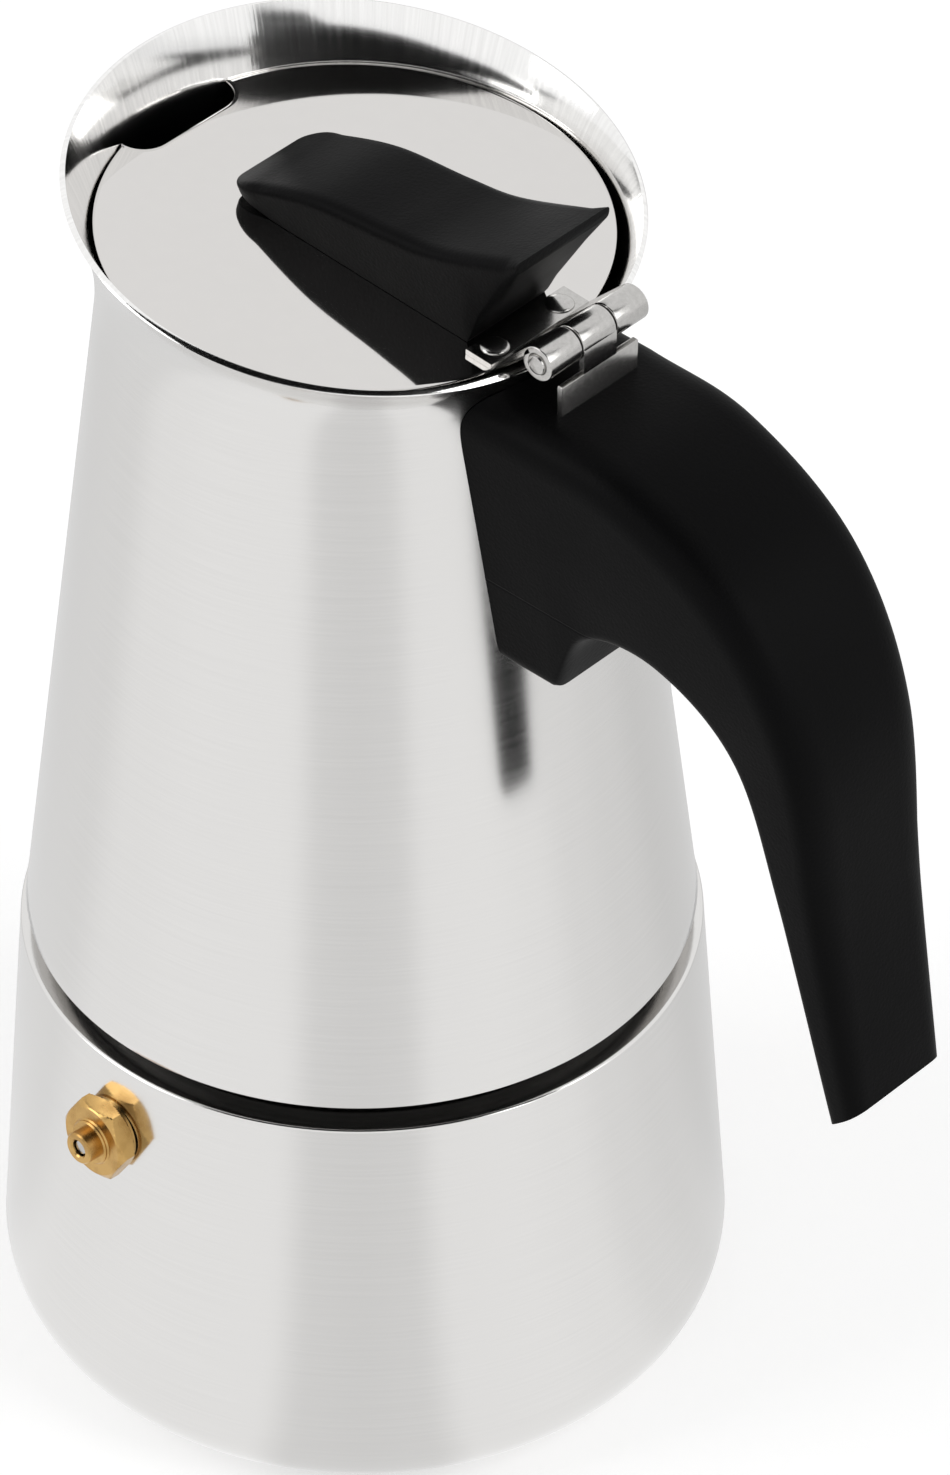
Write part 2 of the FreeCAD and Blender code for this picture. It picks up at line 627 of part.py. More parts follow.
def body_hinge_leaf():
    """Middle knuckle and the strip that goes down into the handle."""
    outer_x = HINGE_X + KNUCKLE_R
    inner_x = outer_x - LEAF_T
    half, strip_half = MIDDLE_KNUCKLE / 2, BODY_LEAF_W / 2
    flare_z = HINGE_Z - BODY_LEAF_FLARE_DROP
    tongue = box((inner_x, -half, flare_z), (outer_x, half, HINGE_Z))
    strip = box((inner_x, -strip_half, BODY_LEAF_END_Z), (outer_x, strip_half, flare_z))
    return knuckle(MIDDLE_KNUCKLE, -half).fuse([tongue, strip]).removeSplitter()


# Handle

def handle_place(place):
    """Point of the handle's side profile."""
    return Vector(HINGE_X + place[0], 0, HINGE_Z - place[1])


def curve(*places):
    """A smooth curve through a few named places of the handle's side profile."""
    line = Part.BSplineCurve()
    line.interpolate([handle_place(place) for place in places])
    return line.toShape()


def handle_blank():
    """Side profile of the handle, tapered in width from root to tip and rounded."""
    root_foot = Vector(0, 0, HANDLE_ROOT_Z)
    root_top = Vector(0, 0, HANDLE_TOP_Z)
    neck, lip = (0, HANDLE_TOP_DROP), (HANDLE_LIP_REACH, HANDLE_ROOT_DROP)
    top = Part.makeLine(root_top, handle_place(neck))
    back = curve(neck, HANDLE_SHOULDER, HANDLE_ELBOW, HANDLE_BACK, HANDLE_GRIP, HANDLE_TIP_OUT)
    tip = curve(HANDLE_TIP_OUT, HANDLE_TIP_IN)
    palm = curve(HANDLE_TIP_IN, HANDLE_GRIP_IN, HANDLE_ELBOW_IN, HANDLE_ARCH, HANDLE_ARCH_FOOT, lip)
    sole = Part.makeLine(handle_place(lip), root_foot)
    profile = Part.Face(Part.Wire([Part.makeLine(root_foot, root_top), top, back, tip, palm, sole]))
    reach = 2 * HANDLE_ROOT_HALF_W
    profile.translate(ALONG_Y * -reach)
    slab = profile.extrude(ALONG_Y * (2 * reach))
    tip_z = handle_place(HANDLE_TIP_IN).z
    taper = prism([(0, -HANDLE_TIP_HALF_W, tip_z), (0, HANDLE_TIP_HALF_W, tip_z),
                   (0, HANDLE_ROOT_HALF_W, HANDLE_TOP_Z), (0, -HANDLE_ROOT_HALF_W, HANDLE_TOP_Z)],
                  Vector(2 * handle_place(HANDLE_TIP_OUT).x, 0, 0))
    blank = slab.common(taper)
    blank = blank.makeFillet(HANDLE_OUTER_R, edges_along(blank, [top, back]))
    return blank.makeFillet(HANDLE_INNER_R, edges_along(blank, [palm]))


def edges_along(solid, lines):
    """Edges of a flat-sided solid that follow one of the lines of its side profile."""
    found = []
    for edge in solid.Edges:
        middle = edge.valueAt((edge.FirstParameter + edge.LastParameter) / 2)
        spot = Part.Vertex(middle.x, 0, middle.z)
        across = edge.BoundBox.YLength > HANDLE_TIP_HALF_W
        if not across and min(line.distToShape(spot)[0] for line in lines) < WELD_GAP:
            found.append(edge)
    return found


def handle():
    body = chamber_form(-HANDLE_BODY_GAP, UPPER_FOOT_Z)
    clear = POCKET_CLEARANCE
    leaf_x = HINGE_X + KNUCKLE_R
    half = BRACKET_HALF_W + clear
    foot_z = BRACKET_TAB_Z - clear
    foot_top = BRACKET_TAB_Z + BRACKET_T + clear
    pockets = [box((0, -half, foot_z), (bracket_front() + clear, half, BRACKET_TOP_Z + clear)),
               box((0, -half, foot_z), (bracket_foot_x() + clear, half, foot_top))]
    slot_half = BODY_LEAF_W / 2 + clear
    slot = box((leaf_x - LEAF_T - clear, -slot_half, BODY_LEAF_END_Z - clear),
               (leaf_x + clear, slot_half, RIM_Z))
    place = handle_screw_place()
    bore = cylinder(SCREW_R + clear, BRACKET_TAB_Z - HANDLE_ROOT_Z, place)
    sink = cylinder(SCREW_HEAD_R + clear, SCREW_HEAD_T, place)
    return handle_blank().cut([body, slot, bore, sink] + pockets)


def bracket_front():
    """Outer face of the bracket's top tab, just inside the hinge leaf."""
    return HINGE_X + KNUCKLE_R - LEAF_T - SEAT_GAP


def bracket_foot_x():
    """Outer end of the bracket's tapped foot."""
    return handle_screw_place().x + SCREW_HEAD_R


def handle_screw_place():
    """Foot of the screw, at the underside of the handle's root, clear of the cone."""
    wall_x = upper_radius(HANDLE_ROOT_Z) + HANDLE_BODY_GAP
    return Vector(wall_x + SCREW_HEAD_R + 2 * POCKET_CLEARANCE, 0, HANDLE_ROOT_Z)


def handle_bracket():
    """Welded bent strip: back on the cone, a top tab at the hinge leaf and a tapped foot."""
    back_x = upper_radius(BRACKET_TAB_Z) + BRACKET_T
    half = BRACKET_HALF_W
    foot_top = BRACKET_TAB_Z + BRACKET_T
    back = box((0, -half, BRACKET_TAB_Z), (back_x, half, BRACKET_TOP_Z))
    top = box((0, -half, BRACKET_TOP_Z - BRACKET_T), (bracket_front(), half, BRACKET_TOP_Z))
    foot = box((0, -half, BRACKET_TAB_Z), (bracket_foot_x(), half, foot_top))
    body = chamber_form(-WELD_GAP, UPPER_FOOT_Z)
    tapped = cylinder(SCREW_R, BRACKET_T, handle_screw_place() + UP * (BRACKET_TAB_Z - HANDLE_ROOT_Z))
    return back.fuse([top, foot]).removeSplitter().cut([body, tapped])


def handle_screw():
    place = handle_screw_place()
    shank = cylinder(SCREW_R, BRACKET_TAB_Z + BRACKET_T - HANDLE_ROOT_Z, place)
    return shank.fuse(cylinder(SCREW_HEAD_R, SCREW_HEAD_T, place)).removeSplitter()


def main():
    os.makedirs("parts", exist_ok=True)
    nodes = {
        "boiler_shell": boiler_shell(),
        "boiler_neck": boiler_neck(),
        "funnel_basket": funnel_basket(),
        "funnel_stem": funnel_stem(),
        "funnel_screen": funnel_screen(),
        "gasket": gasket(),
        "filter_plate": filter_plate(),
        "upper_shell": upper_shell(),
        "threaded_collar": threaded_collar(),
        "chamber_floor": chamber_floor(),
        "riser_column": riser_column(),
        "riser_cap": riser_cap(),
        "lid_plate": lid_plate(),
        "lid_hinge_leaf": lid_hinge_leaf(),
        "lid_rivets": lid_rivets(),
        "hinge_pin": hinge_pin(),
        "lid_knob": lid_knob(),
        "knob_screws": knob_screws(),
        "body_hinge_leaf": body_hinge_leaf(),
        "handle": handle(),
        "handle_bracket": handle_bracket(),
        "handle_screw": handle_screw(),
    }
    nodes.update(safety_valve())
    for name, shape in nodes.items():
        shape.exportStep("parts/" + name + ".step")
        print(name, len(shape.Solids), "solid(s), valid:", shape.isValid())


main()
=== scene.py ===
"""Looks of a stovetop moka pot: smooth sheet-metal shells, moulded grips, brass valve and studio.

Sizes are written in millimetres and turned into metres when a mesh is made. The pot stands on
the origin, its handle points along +X and the hinge pin of its lid lies along Y.
"""
import logging
import math
from collections.abc import Sequence
from dataclasses import dataclass, field
from enum import Enum

import bmesh
import bpy
from mathutils import Matrix, Vector


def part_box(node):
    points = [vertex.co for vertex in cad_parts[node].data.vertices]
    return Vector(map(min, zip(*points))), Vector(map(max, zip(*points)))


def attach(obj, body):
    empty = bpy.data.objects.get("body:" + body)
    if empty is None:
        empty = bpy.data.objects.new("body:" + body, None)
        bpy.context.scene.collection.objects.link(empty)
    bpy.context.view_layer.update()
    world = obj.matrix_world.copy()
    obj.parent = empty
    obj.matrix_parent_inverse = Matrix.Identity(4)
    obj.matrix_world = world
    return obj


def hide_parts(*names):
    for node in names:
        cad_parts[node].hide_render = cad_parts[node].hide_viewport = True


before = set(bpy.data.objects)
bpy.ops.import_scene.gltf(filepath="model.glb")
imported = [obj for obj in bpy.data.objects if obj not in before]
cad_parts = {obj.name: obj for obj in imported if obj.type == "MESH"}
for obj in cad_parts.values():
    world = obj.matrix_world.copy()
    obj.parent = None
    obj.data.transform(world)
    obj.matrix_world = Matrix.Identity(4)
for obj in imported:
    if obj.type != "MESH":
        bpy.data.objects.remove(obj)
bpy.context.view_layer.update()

LOG = logging.getLogger("moka_pot")
MM = 0.001
AROUND = 192
SHARP_ANGLE = math.radians(38)
UP = Vector((0, 0, 1))
UNIT = (0.0, 1.0)
# Range in which most of a noise lies
MIDDLE = (0.3, 0.7)
# Distances in millimetres below which points merge and edges vanish
MERGE = 1e-4
LEAST_EDGE = 1e-5
# Steps round the shapes that the geometry trees make, and length of a drill in thicknesses
SPIRAL_STEPS, RIDGE_SIDES = 72, 8
DISC_SIDES, DRILL_SIDES, DRILL_REACH = 128, 12, 3.0
ROD_SIDES, BALL_SIDES, BALL_RINGS = 24, 32, 16

Point = tuple[float, float]
Colour = tuple[float, float, float]
Grid = list[list[Vector]]
Node = bpy.types.Node
Socket = bpy.types.NodeSocket


class Grain(Enum):
    """Direction in which a metal surface was brushed or polished."""

    HOOP = "hoop"
    RADIAL = "radial"
    MIRROR = "mirror"


class Body(Enum):
    """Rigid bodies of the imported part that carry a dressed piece."""

    BOILER = "boiler"
    FUNNEL = "funnel"
    GASKET = "gasket"
    FILTER = "filter_plate"
    UPPER = "upper"
    LID = "lid"


class Slot(Enum):
    """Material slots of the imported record."""

    SATIN = "satin_steel"
    POLISHED = "polished_steel"
    HINGE = "hinge_steel"
    BRASS = "brass"
    PLASTIC = "black_plastic"
    RUBBER = "seal_rubber"


# Node helpers

@dataclass
class NodeBench:
    """Short calls for building a node tree.

    Attributes:
        tree: The shader or geometry node tree that is being built.
    """

    tree: bpy.types.NodeTree

    def add(self, kind: str, inputs: dict[str | int, object] | None = None, **settings: object) -> Node:
        """Adds a node.

        Args:
            kind: Blender's name of the node type.
            inputs: Inputs by name or number, each with a constant or an output socket.
            **settings: Properties of the node.

        Returns:
            The new node.
        """
        node = self.tree.nodes.new(kind)
        for name, value in settings.items():
            setattr(node, name, value)
        self.feed(node, inputs or {})
        return node

    def feed(self, node: Node, inputs: dict[str | int, object]) -> None:
        """Gives inputs a constant or a link.

        Args:
            node: The node whose inputs are set.
            inputs: Inputs by name or number, each with a constant or an output socket.
        """
        for key, value in inputs.items():
            if isinstance(value, Socket):
                self.tree.links.new(value, node.inputs[key])
            else:
                node.inputs[key].default_value = value

    def place(self) -> Socket:
        """Coordinates on the object."""
        return self.add("ShaderNodeTexCoord").outputs["Object"]

    def apart(self, vector: Socket) -> Sequence[Socket]:
        """Parts of a vector along X, Y and Z."""
        return self.add("ShaderNodeSeparateXYZ", {0: vector}).outputs

    def joined(self, *parts: object) -> Socket:
        """A vector from its parts along X, Y and Z."""
        return self.add("ShaderNodeCombineXYZ", dict(enumerate(parts))).outputs[0]

    def math(self, operation: str, *values: object) -> Socket:
        """Result of one arithmetic step on constants or output sockets."""
        return self.add("ShaderNodeMath", dict(enumerate(values)), operation=operation).outputs[0]

    def noise(self, vector: Socket, scale: float, detail: float = 3.0) -> Socket:
        """Fractal noise about one half, with so many features per unit of the coordinates."""
        return self.add("ShaderNodeTexNoise", {"Vector": vector, "Scale": scale, "Detail": detail}).outputs[0]

    def span(self, value: Socket, given: Point, wanted: Point) -> Socket:
        """Maps a value from the given range onto the wanted one."""
        ends = zip(("From Min", "From Max", "To Min", "To Max"), (*given, *wanted))
        return self.add("ShaderNodeMapRange", {"Value": value, **dict(ends)}).outputs["Result"]

    def tint(self, factor: Socket, dark: Socket | Colour, light: Socket | Colour) -> Socket:
        """Blends two colours.

        Args:
            factor: Socket that goes from 0, dark, to 1, light.
            dark: Colour at 0.
            light: Colour at 1.

        Returns:
            The socket with the colour.
        """
        ends = {6: dark, 7: light}
        shades = {key: tone if isinstance(tone, Socket) else (*tone, 1.0) for key, tone in ends.items()}
        return self.add("ShaderNodeMix", {0: factor, **shades}, data_type="RGBA").outputs[2]

    def bump(self, shader: Node, strength: float, depth: float, height: Socket) -> None:
        """Raises a surface by a height, in depths that are given in millimetres."""
        relief = self.add("ShaderNodeBump", {"Strength": strength, "Distance": depth * MM, "Height": height})
        self.feed(shader, {"Normal": relief.outputs[0]})

    def surface(self, shader: Node) -> None:
        """Ends a material with the shader of its surface."""
        self.add("ShaderNodeOutputMaterial", {"Surface": shader.outputs[0]})


# Finishes

@dataclass(frozen=True)
class Finish:
    """What every finish has.

    Attributes:
        name: Name of the material.
        colour: Base colour, linear.
        roughness: Mean roughness.
    """

    name: str
    colour: Colour
    roughness: float

    def material(self) -> bpy.types.Material:
        """The finish as a node material, made once.

        Returns:
            The material.
        """
        known = bpy.data.materials.get(self.name)
        if known:
            return known
        made = bpy.data.materials.new(self.name)
        made.use_nodes = True
        shader = next(n for n in made.node_tree.nodes if n.type == "BSDF_PRINCIPLED")
        self.dress(NodeBench(made.node_tree), shader)
        made.diffuse_color = (*self.colour, 1.0)
        return made

    def shade(self, share: float) -> Colour:
        """A share of the base colour."""
        return tuple(share * part for part in self.colour)

    def dress(self, bench: NodeBench, shader: Node) -> None:
        """Fills in the principled shader."""
        raise NotImplementedError


@dataclass(frozen=True)
class Steel(Finish):
    """Stainless sheet with the lines that brushing or polishing leaves.

    Attributes:
        grain: Direction of the lines.
        line: Width of a line in millimetres; for radial grain a share of the step round the axis.
        depth: Depth of the lines in millimetres.
        anisotropy: How far highlights stretch across the lines.
        mottle: How much the roughness wanders in large soft patches.
        contrast: How much darker the bottom of a line is.
        patches: Soft patches per metre.
        heights: Values of the noise at the bottom and the top of a line.
        wear: Roughness at the bottom and the top of a line, as shares of the mean.
        smoothest: Least roughness.
        relief: Strength of the lines' relief.
        hoop_steps: Breaks in a line on its way round the axis.
        radial_steps: Radial lines per radian for a line of 1.
        radial_stretch: Breaks in a radial line per metre.
    """

    grain: Grain = Grain.HOOP
    line: float = 0.35
    depth: float = 0.004
    anisotropy: float = 0.5
    mottle: float = 0.05
    contrast: float = 0.04
    patches: float = 38.0
    heights: Point = (0.25, 0.75)
    wear: Point = (0.88, 1.14)
    smoothest: float = 0.02
    relief: float = 0.5
    hoop_steps: float = 2.2
    radial_steps: float = 34.0
    radial_stretch: float = 40.0

    def lines(self, bench: NodeBench, place: Socket) -> Socket:
        """Coordinates that stretch a noise along the grain.

        Args:
            bench: The material's node bench.
            place: Socket with the coordinates on the object.

        Returns:
            Socket with the stretched coordinates.
        """
        x, y, z = bench.apart(place)
        squares = [bench.math("MULTIPLY", part, part) for part in (x, y)]
        radius = bench.math("SQRT", bench.math("ADD", *squares))
        safe = bench.math("MAXIMUM", radius, MM)
        hoop = self.grain is Grain.HOOP
        around = self.hoop_steps if hoop else self.radial_steps / self.line
        along = 1.0 / (self.line * MM) if hoop else self.radial_stretch
        turns = [bench.math("MULTIPLY", bench.math("DIVIDE", part, safe), around) for part in (x, y)]
        return bench.joined(*turns, bench.math("MULTIPLY", bench.math("ADD", z, radius), along))

    def dress(self, bench: NodeBench, shader: Node) -> None:
        """Fills in the shader: fine lines, patches of wear and a stretched highlight.

        Args:
            bench: The material's node bench.
            shader: Its principled shader.
        """
        place = bench.place()
        if self.grain is Grain.MIRROR:
            fine = bench.noise(place, 1.0 / (self.line * MM), 2.0)
        else:
            fine = bench.noise(self.lines(bench, place), 1.0, 4.0)
            tangent = bench.add("ShaderNodeTangent", direction_type="RADIAL", axis="Z").outputs[0]
            quarter = 0.25 if self.grain is Grain.RADIAL else 0.0
            bench.feed(shader, {"Anisotropic": self.anisotropy, "Anisotropic Rotation": quarter,
                                "Tangent": tangent})
        drift = bench.span(bench.noise(place, self.patches, 4.0), MIDDLE, (-self.mottle, self.mottle))
        worn = bench.span(fine, self.heights, tuple(self.roughness * share for share in self.wear))
        rough = bench.math("MAXIMUM", bench.math("ADD", worn, drift), self.smoothest)
        tone = bench.tint(bench.span(fine, MIDDLE, UNIT), self.shade(1.0 - self.contrast), self.colour)
        bench.feed(shader, {"Roughness": rough, "Base Color": tone, "Metallic": 1.0})
        bench.bump(shader, self.relief, self.depth, fine)


@dataclass(frozen=True)
class MouldedPlastic(Finish):
    """Black heat-proof plastic with a fine spark-eroded grain and a few pale specks of dust.

    Attributes:
        grain: Size of a grain in millimetres.
        depth: Depth of the grain in millimetres.
        sheen: Strength of the surface reflection.
        hollow: Share of the colour between the grains.
        patches: Rubbed patches per metre.
        wander: How much the roughness changes in them.
        specks: Cells per metre that may hold a speck.
        speck_r: Where a speck begins to fade and where it ends, in cells.
        clouds: Clouds of specks per metre.
        cloud_edge: Values of the noise between which a cloud fades in.
        dust: Colour of a speck.
        strength: Strength of the grain's relief.
    """

    grain: float = 0.32
    depth: float = 0.04
    sheen: float = 0.05
    hollow: float = 0.75
    patches: float = 55.0
    wander: float = 0.05
    specks: float = 150.0
    speck_r: Point = (0.012, 0.02)
    clouds: float = 120.0
    cloud_edge: Point = (0.6, 0.66)
    dust: Colour = (0.06, 0.06, 0.06)
    strength: float = 0.55

    def fine(self, bench: NodeBench, place: Socket) -> Socket:
        """Noise as fine as the grain."""
        return bench.noise(place, 1.0 / (self.grain * MM), 5.0)

    def dress(self, bench: NodeBench, shader: Node) -> None:
        """Fills in the shader: grain, rubbed patches and dust.

        Args:
            bench: The material's node bench.
            shader: Its principled shader.
        """
        place = bench.place()
        cells = bench.add("ShaderNodeTexVoronoi", {"Vector": place, "Scale": self.specks}, feature="F1")
        speck = bench.span(cells.outputs["Distance"], self.speck_r, (1.0, 0.0))
        cloud = bench.span(bench.noise(place, self.clouds, 1.0), self.cloud_edge, UNIT)
        fine = bench.span(self.fine(bench, place), MIDDLE, UNIT)
        body = bench.tint(fine, self.shade(self.hollow), self.colour)
        tone = bench.tint(bench.math("MULTIPLY", speck, cloud), body, self.dust)
        worn = (self.roughness - self.wander, self.roughness + self.wander)
        rough = bench.span(bench.noise(place, self.patches), MIDDLE, worn)
        bench.feed(shader, {"Base Color": tone, "Roughness": rough, "Specular IOR Level": self.sheen})
        bench.bump(shader, self.strength, self.depth, self.relief(bench, place))

    def relief(self, bench: NodeBench, place: Socket) -> Socket:
        """Height of the moulded skin.

        Args:
            bench: The material's node bench.
            place: Socket with the coordinates.

        Returns:
            Socket with the height, in depths of the grain.
        """
        fill = 0.7
        inputs = {"Vector": place, "Scale": fill / (self.grain * MM)}
        cells = bench.add("ShaderNodeTexVoronoi", inputs, feature="SMOOTH_F1")
        fine = bench.math("MULTIPLY", self.fine(bench, place), fill)
        return bench.math("ADD", fine, cells.outputs["Distance"])


@dataclass(frozen=True)
class SeamedPlastic(MouldedPlastic):
    """The handle's plastic, with the parting line across its root.

    Attributes:
        seam_z: Height of the line in millimetres.
        seam_end: Where it ends along X in millimetres.
        seam_w: Its width in millimetres.
        seam_depth: Its depth, in depths of the grain.
        seam_edge: Where its side begins and ends, in widths from its middle.
    """

    seam_z: float = 147.4
    seam_end: float = 55.0
    seam_w: float = 0.35
    seam_depth: float = 6.0
    seam_edge: Point = (0.3, 0.6)

    def relief(self, bench: NodeBench, place: Socket) -> Socket:
        """Height of the moulded skin with the line cut into it.

        Args:
            bench: The material's node bench.
            place: Socket with the coordinates.

        Returns:
            Socket with the height, in depths of the grain.
        """
        x, _, z = bench.apart(place)
        away = bench.math("ABSOLUTE", bench.math("SUBTRACT", z, self.seam_z * MM))
        edge = tuple(share * self.seam_w * MM for share in self.seam_edge)
        line = bench.span(away, edge, (self.seam_depth, 0.0))
        inside = bench.math("LESS_THAN", x, self.seam_end * MM)
        return bench.math("SUBTRACT", super().relief(bench, place), bench.math("MULTIPLY", line, inside))


@dataclass(frozen=True)
class Mottled(Finish):
    """A skin with stains and fine marks, such as tarnished brass or dusty silicone.

    Attributes:
        stain: Colour of the stains, linear.
        dulled: What the roughness gains in the stains and between them.
        patches: Stains per metre.
        marks: Tool marks or pores per metre.
        depth: Depth of the marks in millimetres.
        metallic: 1 for a metal, otherwise 0.
        reach: Values of the noise between which a stain fades.
        relief: Strength of the marks' relief.
    """

    stain: Colour
    dulled: Point
    patches: float
    marks: float
    depth: float
    metallic: float = 0.0
    reach: Point = MIDDLE
    relief: float = 0.3

    def dress(self, bench: NodeBench, shader: Node) -> None:
        """Fills in the shader: stains and marks.

        Args:
            bench: The material's node bench.
            shader: Its principled shader.
        """
        place = bench.place()
        cloud = bench.noise(place, self.patches, 4.0)
        tone = bench.tint(bench.span(cloud, self.reach, UNIT), self.stain, self.colour)
        rough = bench.span(cloud, MIDDLE, tuple(self.roughness + gain for gain in self.dulled))
        bench.feed(shader, {"Base Color": tone, "Roughness": rough, "Metallic": self.metallic})
        bench.bump(shader, self.relief, self.depth, bench.noise(place, self.marks, 2.0))


SATIN_STEEL = Steel("satin_steel_hoop", (0.75, 0.741, 0.729), 0.15, Grain.HOOP,
                    line=0.22, depth=0.0007, mottle=0.02, contrast=0.03)
CHAMBER_STEEL = Steel("chamber_steel_hoop", (0.72, 0.71, 0.7), 0.2, Grain.HOOP,
                      line=0.4, depth=0.003, mottle=0.03)
FLARE_STEEL = Steel("flare_steel_radial", (0.95, 0.945, 0.935), 0.1, Grain.RADIAL,
                    line=0.5, depth=0.012, mottle=0.02, contrast=0.12)
LID_STEEL = Steel("lid_steel_mirror", (0.69, 0.675, 0.66), 0.05, Grain.MIRROR,
                  line=2.5, depth=0.0004, mottle=0.006, contrast=0.01)
INNER_STEEL = Steel("inner_steel_mirror", (0.68, 0.67, 0.66), 0.16, Grain.MIRROR,
                    line=0.9, depth=0.003, mottle=0.03, contrast=0.05)
# Near-black collar steel: painted shade that darkens the gap between boiler and upper chamber, not the
# steel's own colour
COLLAR_SHADE_STEEL = Steel("collar_steel_painted_shade", (0.02, 0.0195, 0.019), 0.35, Grain.HOOP,
                    line=0.5, anisotropy=0.3, contrast=0.2)
HINGE_STEEL = Steel("hinge_steel_rolled", (0.55, 0.54, 0.525), 0.2, Grain.MIRROR,
                    line=0.6, mottle=0.03, contrast=0.1)
VALVE_BRASS = Mottled("valve_brass", (0.58, 0.365, 0.13), 0.22, (0.36, 0.2, 0.06), (0.1, -0.05),
                      patches=260.0, marks=5200.0, depth=0.006, metallic=1.0, reach=(0.25, 0.55))
GRIP_PLASTIC = MouldedPlastic("grip_plastic", (0.002, 0.002, 0.0022), 0.46)
HANDLE_PLASTIC = SeamedPlastic("handle_plastic", (0.002, 0.002, 0.0022), 0.46)
SEAL_RUBBER = Mottled("seal_rubber_pale", (0.62, 0.6, 0.55), 0.62, (0.5084, 0.492, 0.451), (-0.08, 0.06),
                      patches=160.0, marks=2200.0, depth=0.05)


# Mesh helpers

def spread(low: float, high: float, count: int) -> list[float]:
    """Evenly spaced numbers, both ends included."""
    return [low + (high - low) * step / (count - 1) for step in range(count)]


def turns_of(count: int) -> list[float]:
    """Angles of so many even steps round the axis, in radians."""
    return [2 * math.pi * step / count for step in range(count)]


def polar(radius: float, turn: float, z: float = 0.0) -> Vector:
    """Point at a radius, an angle in radians and a height."""
    return Vector((radius * math.cos(turn), radius * math.sin(turn), z))


def bow(start: Vector, middle: Vector, end: Vector, t: float) -> Vector:
    """Point at a share of a curve that leaves its ends towards the middle."""
    return start * (1 - t) ** 2 + middle * (2 * t * (1 - t)) + end * t ** 2


def soften(corners: Sequence[Point], radius: float | Sequence[float], steps: int = 4) -> list[Point]:
    """Rounds the corners of a closed outline.

    Args:
        corners: Corner points in order.
        radius: Largest setback along either side of a corner, one for all or one for each.
        steps: Points on each rounded corner.

    Returns:
        The rounded outline.
    """
    most = 0.45
    outline: list[Point] = []
    for number, corner in enumerate(corners):
        here = Vector(corner)
        back = Vector(corners[number - 1]) - here
        onward = Vector(corners[(number + 1) % len(corners)]) - here
        wanted = radius if isinstance(radius, float) else radius[number]
        set_in = min(wanted, back.length * most, onward.length * most)
        start, end = here + back.normalized() * set_in, here + onward.normalized() * set_in
        for t in spread(0.0, 1.0, steps):
            spot = bow(start, here, end, t)
            outline.append((spot.x, spot.y))
    return outline


def arc(centre: Point, radius: float, start: float, end: float, count: int) -> list[Point]:
    """Points of an arc in a plane, between two angles in degrees."""
    turns = [math.radians(a) for a in spread(start, end, count)]
    return [(centre[0] + radius * math.cos(t), centre[1] + radius * math.sin(t)) for t in turns]


def glide(places: Sequence[Point], per_span: int) -> list[Point]:
    """A smooth curve through a few places.

    Args:
        places: Points that the curve passes through.
        per_span: Points on each stretch.

    Returns:
        Points along the curve.
    """
    dots = [Vector(p) for p in places]
    dots = [dots[0] * 2 - dots[1], *dots, dots[-1] * 2 - dots[-2]]
    line: list[Point] = []
    for a, b, c, d in zip(dots, dots[1:], dots[2:], dots[3:]):
        bend, twist = a * 2 - b * 5 + c * 4 - d, b * 3 - a - c * 3 + d
        for step in range(per_span):
            t = step / per_span
            spot = (b * 2 + (c - a) * t + bend * t ** 2 + twist * t ** 3) * 0.5
            line.append((spot.x, spot.y))
    return line + [places[-1]]


def axes_at(x: Vector, y: Vector, z: Vector, place: Vector) -> Matrix:
    """A frame from its three axes and its origin."""
    return Matrix.Translation(place) @ Matrix((x, y, z)).transposed().to_4x4()


def at_share(line: Sequence[Point], share: float) -> Point:
    """Place at a share of a line's length.

    Args:
        line: Points along the line.
        share: From 0, its start, to 1, its end.

    Returns:
        The point.
    """
    dots = [Vector(p) for p in line]
    lengths = [(b - a).length for a, b in zip(dots, dots[1:])]
    left = share * sum(lengths)
    for a, b, length in zip(dots, dots[1:], lengths):
        if left <= length or b is dots[-1]:
            spot = a.lerp(b, min(1.0, left / length) if length else 0.0)
            return spot.x, spot.y
        left -= length
    return line[-1]


def height_at(line: Sequence[Point], x: float) -> float:
    """Height of a line at a place along it.

    Args:
        line: Points in order of their first coordinate.
        x: The place.

    Returns:
        The height.
    """
    for (x0, z0), (x1, z1) in zip(line, line[1:]):
        if x <= x1:
            return z0 + (z1 - z0) * (x - x0) / (x1 - x0)
    return line[-1][1]


def new_object(name: str, data: bpy.types.ID) -> bpy.types.Object:
    """Puts a new object into the scene.

    Args:
        name: Its name.
        data: Its mesh, lamp or camera.

    Returns:
        The object.
    """
    piece = bpy.data.objects.new(name, data)
    bpy.context.scene.collection.objects.link(piece)
    return piece


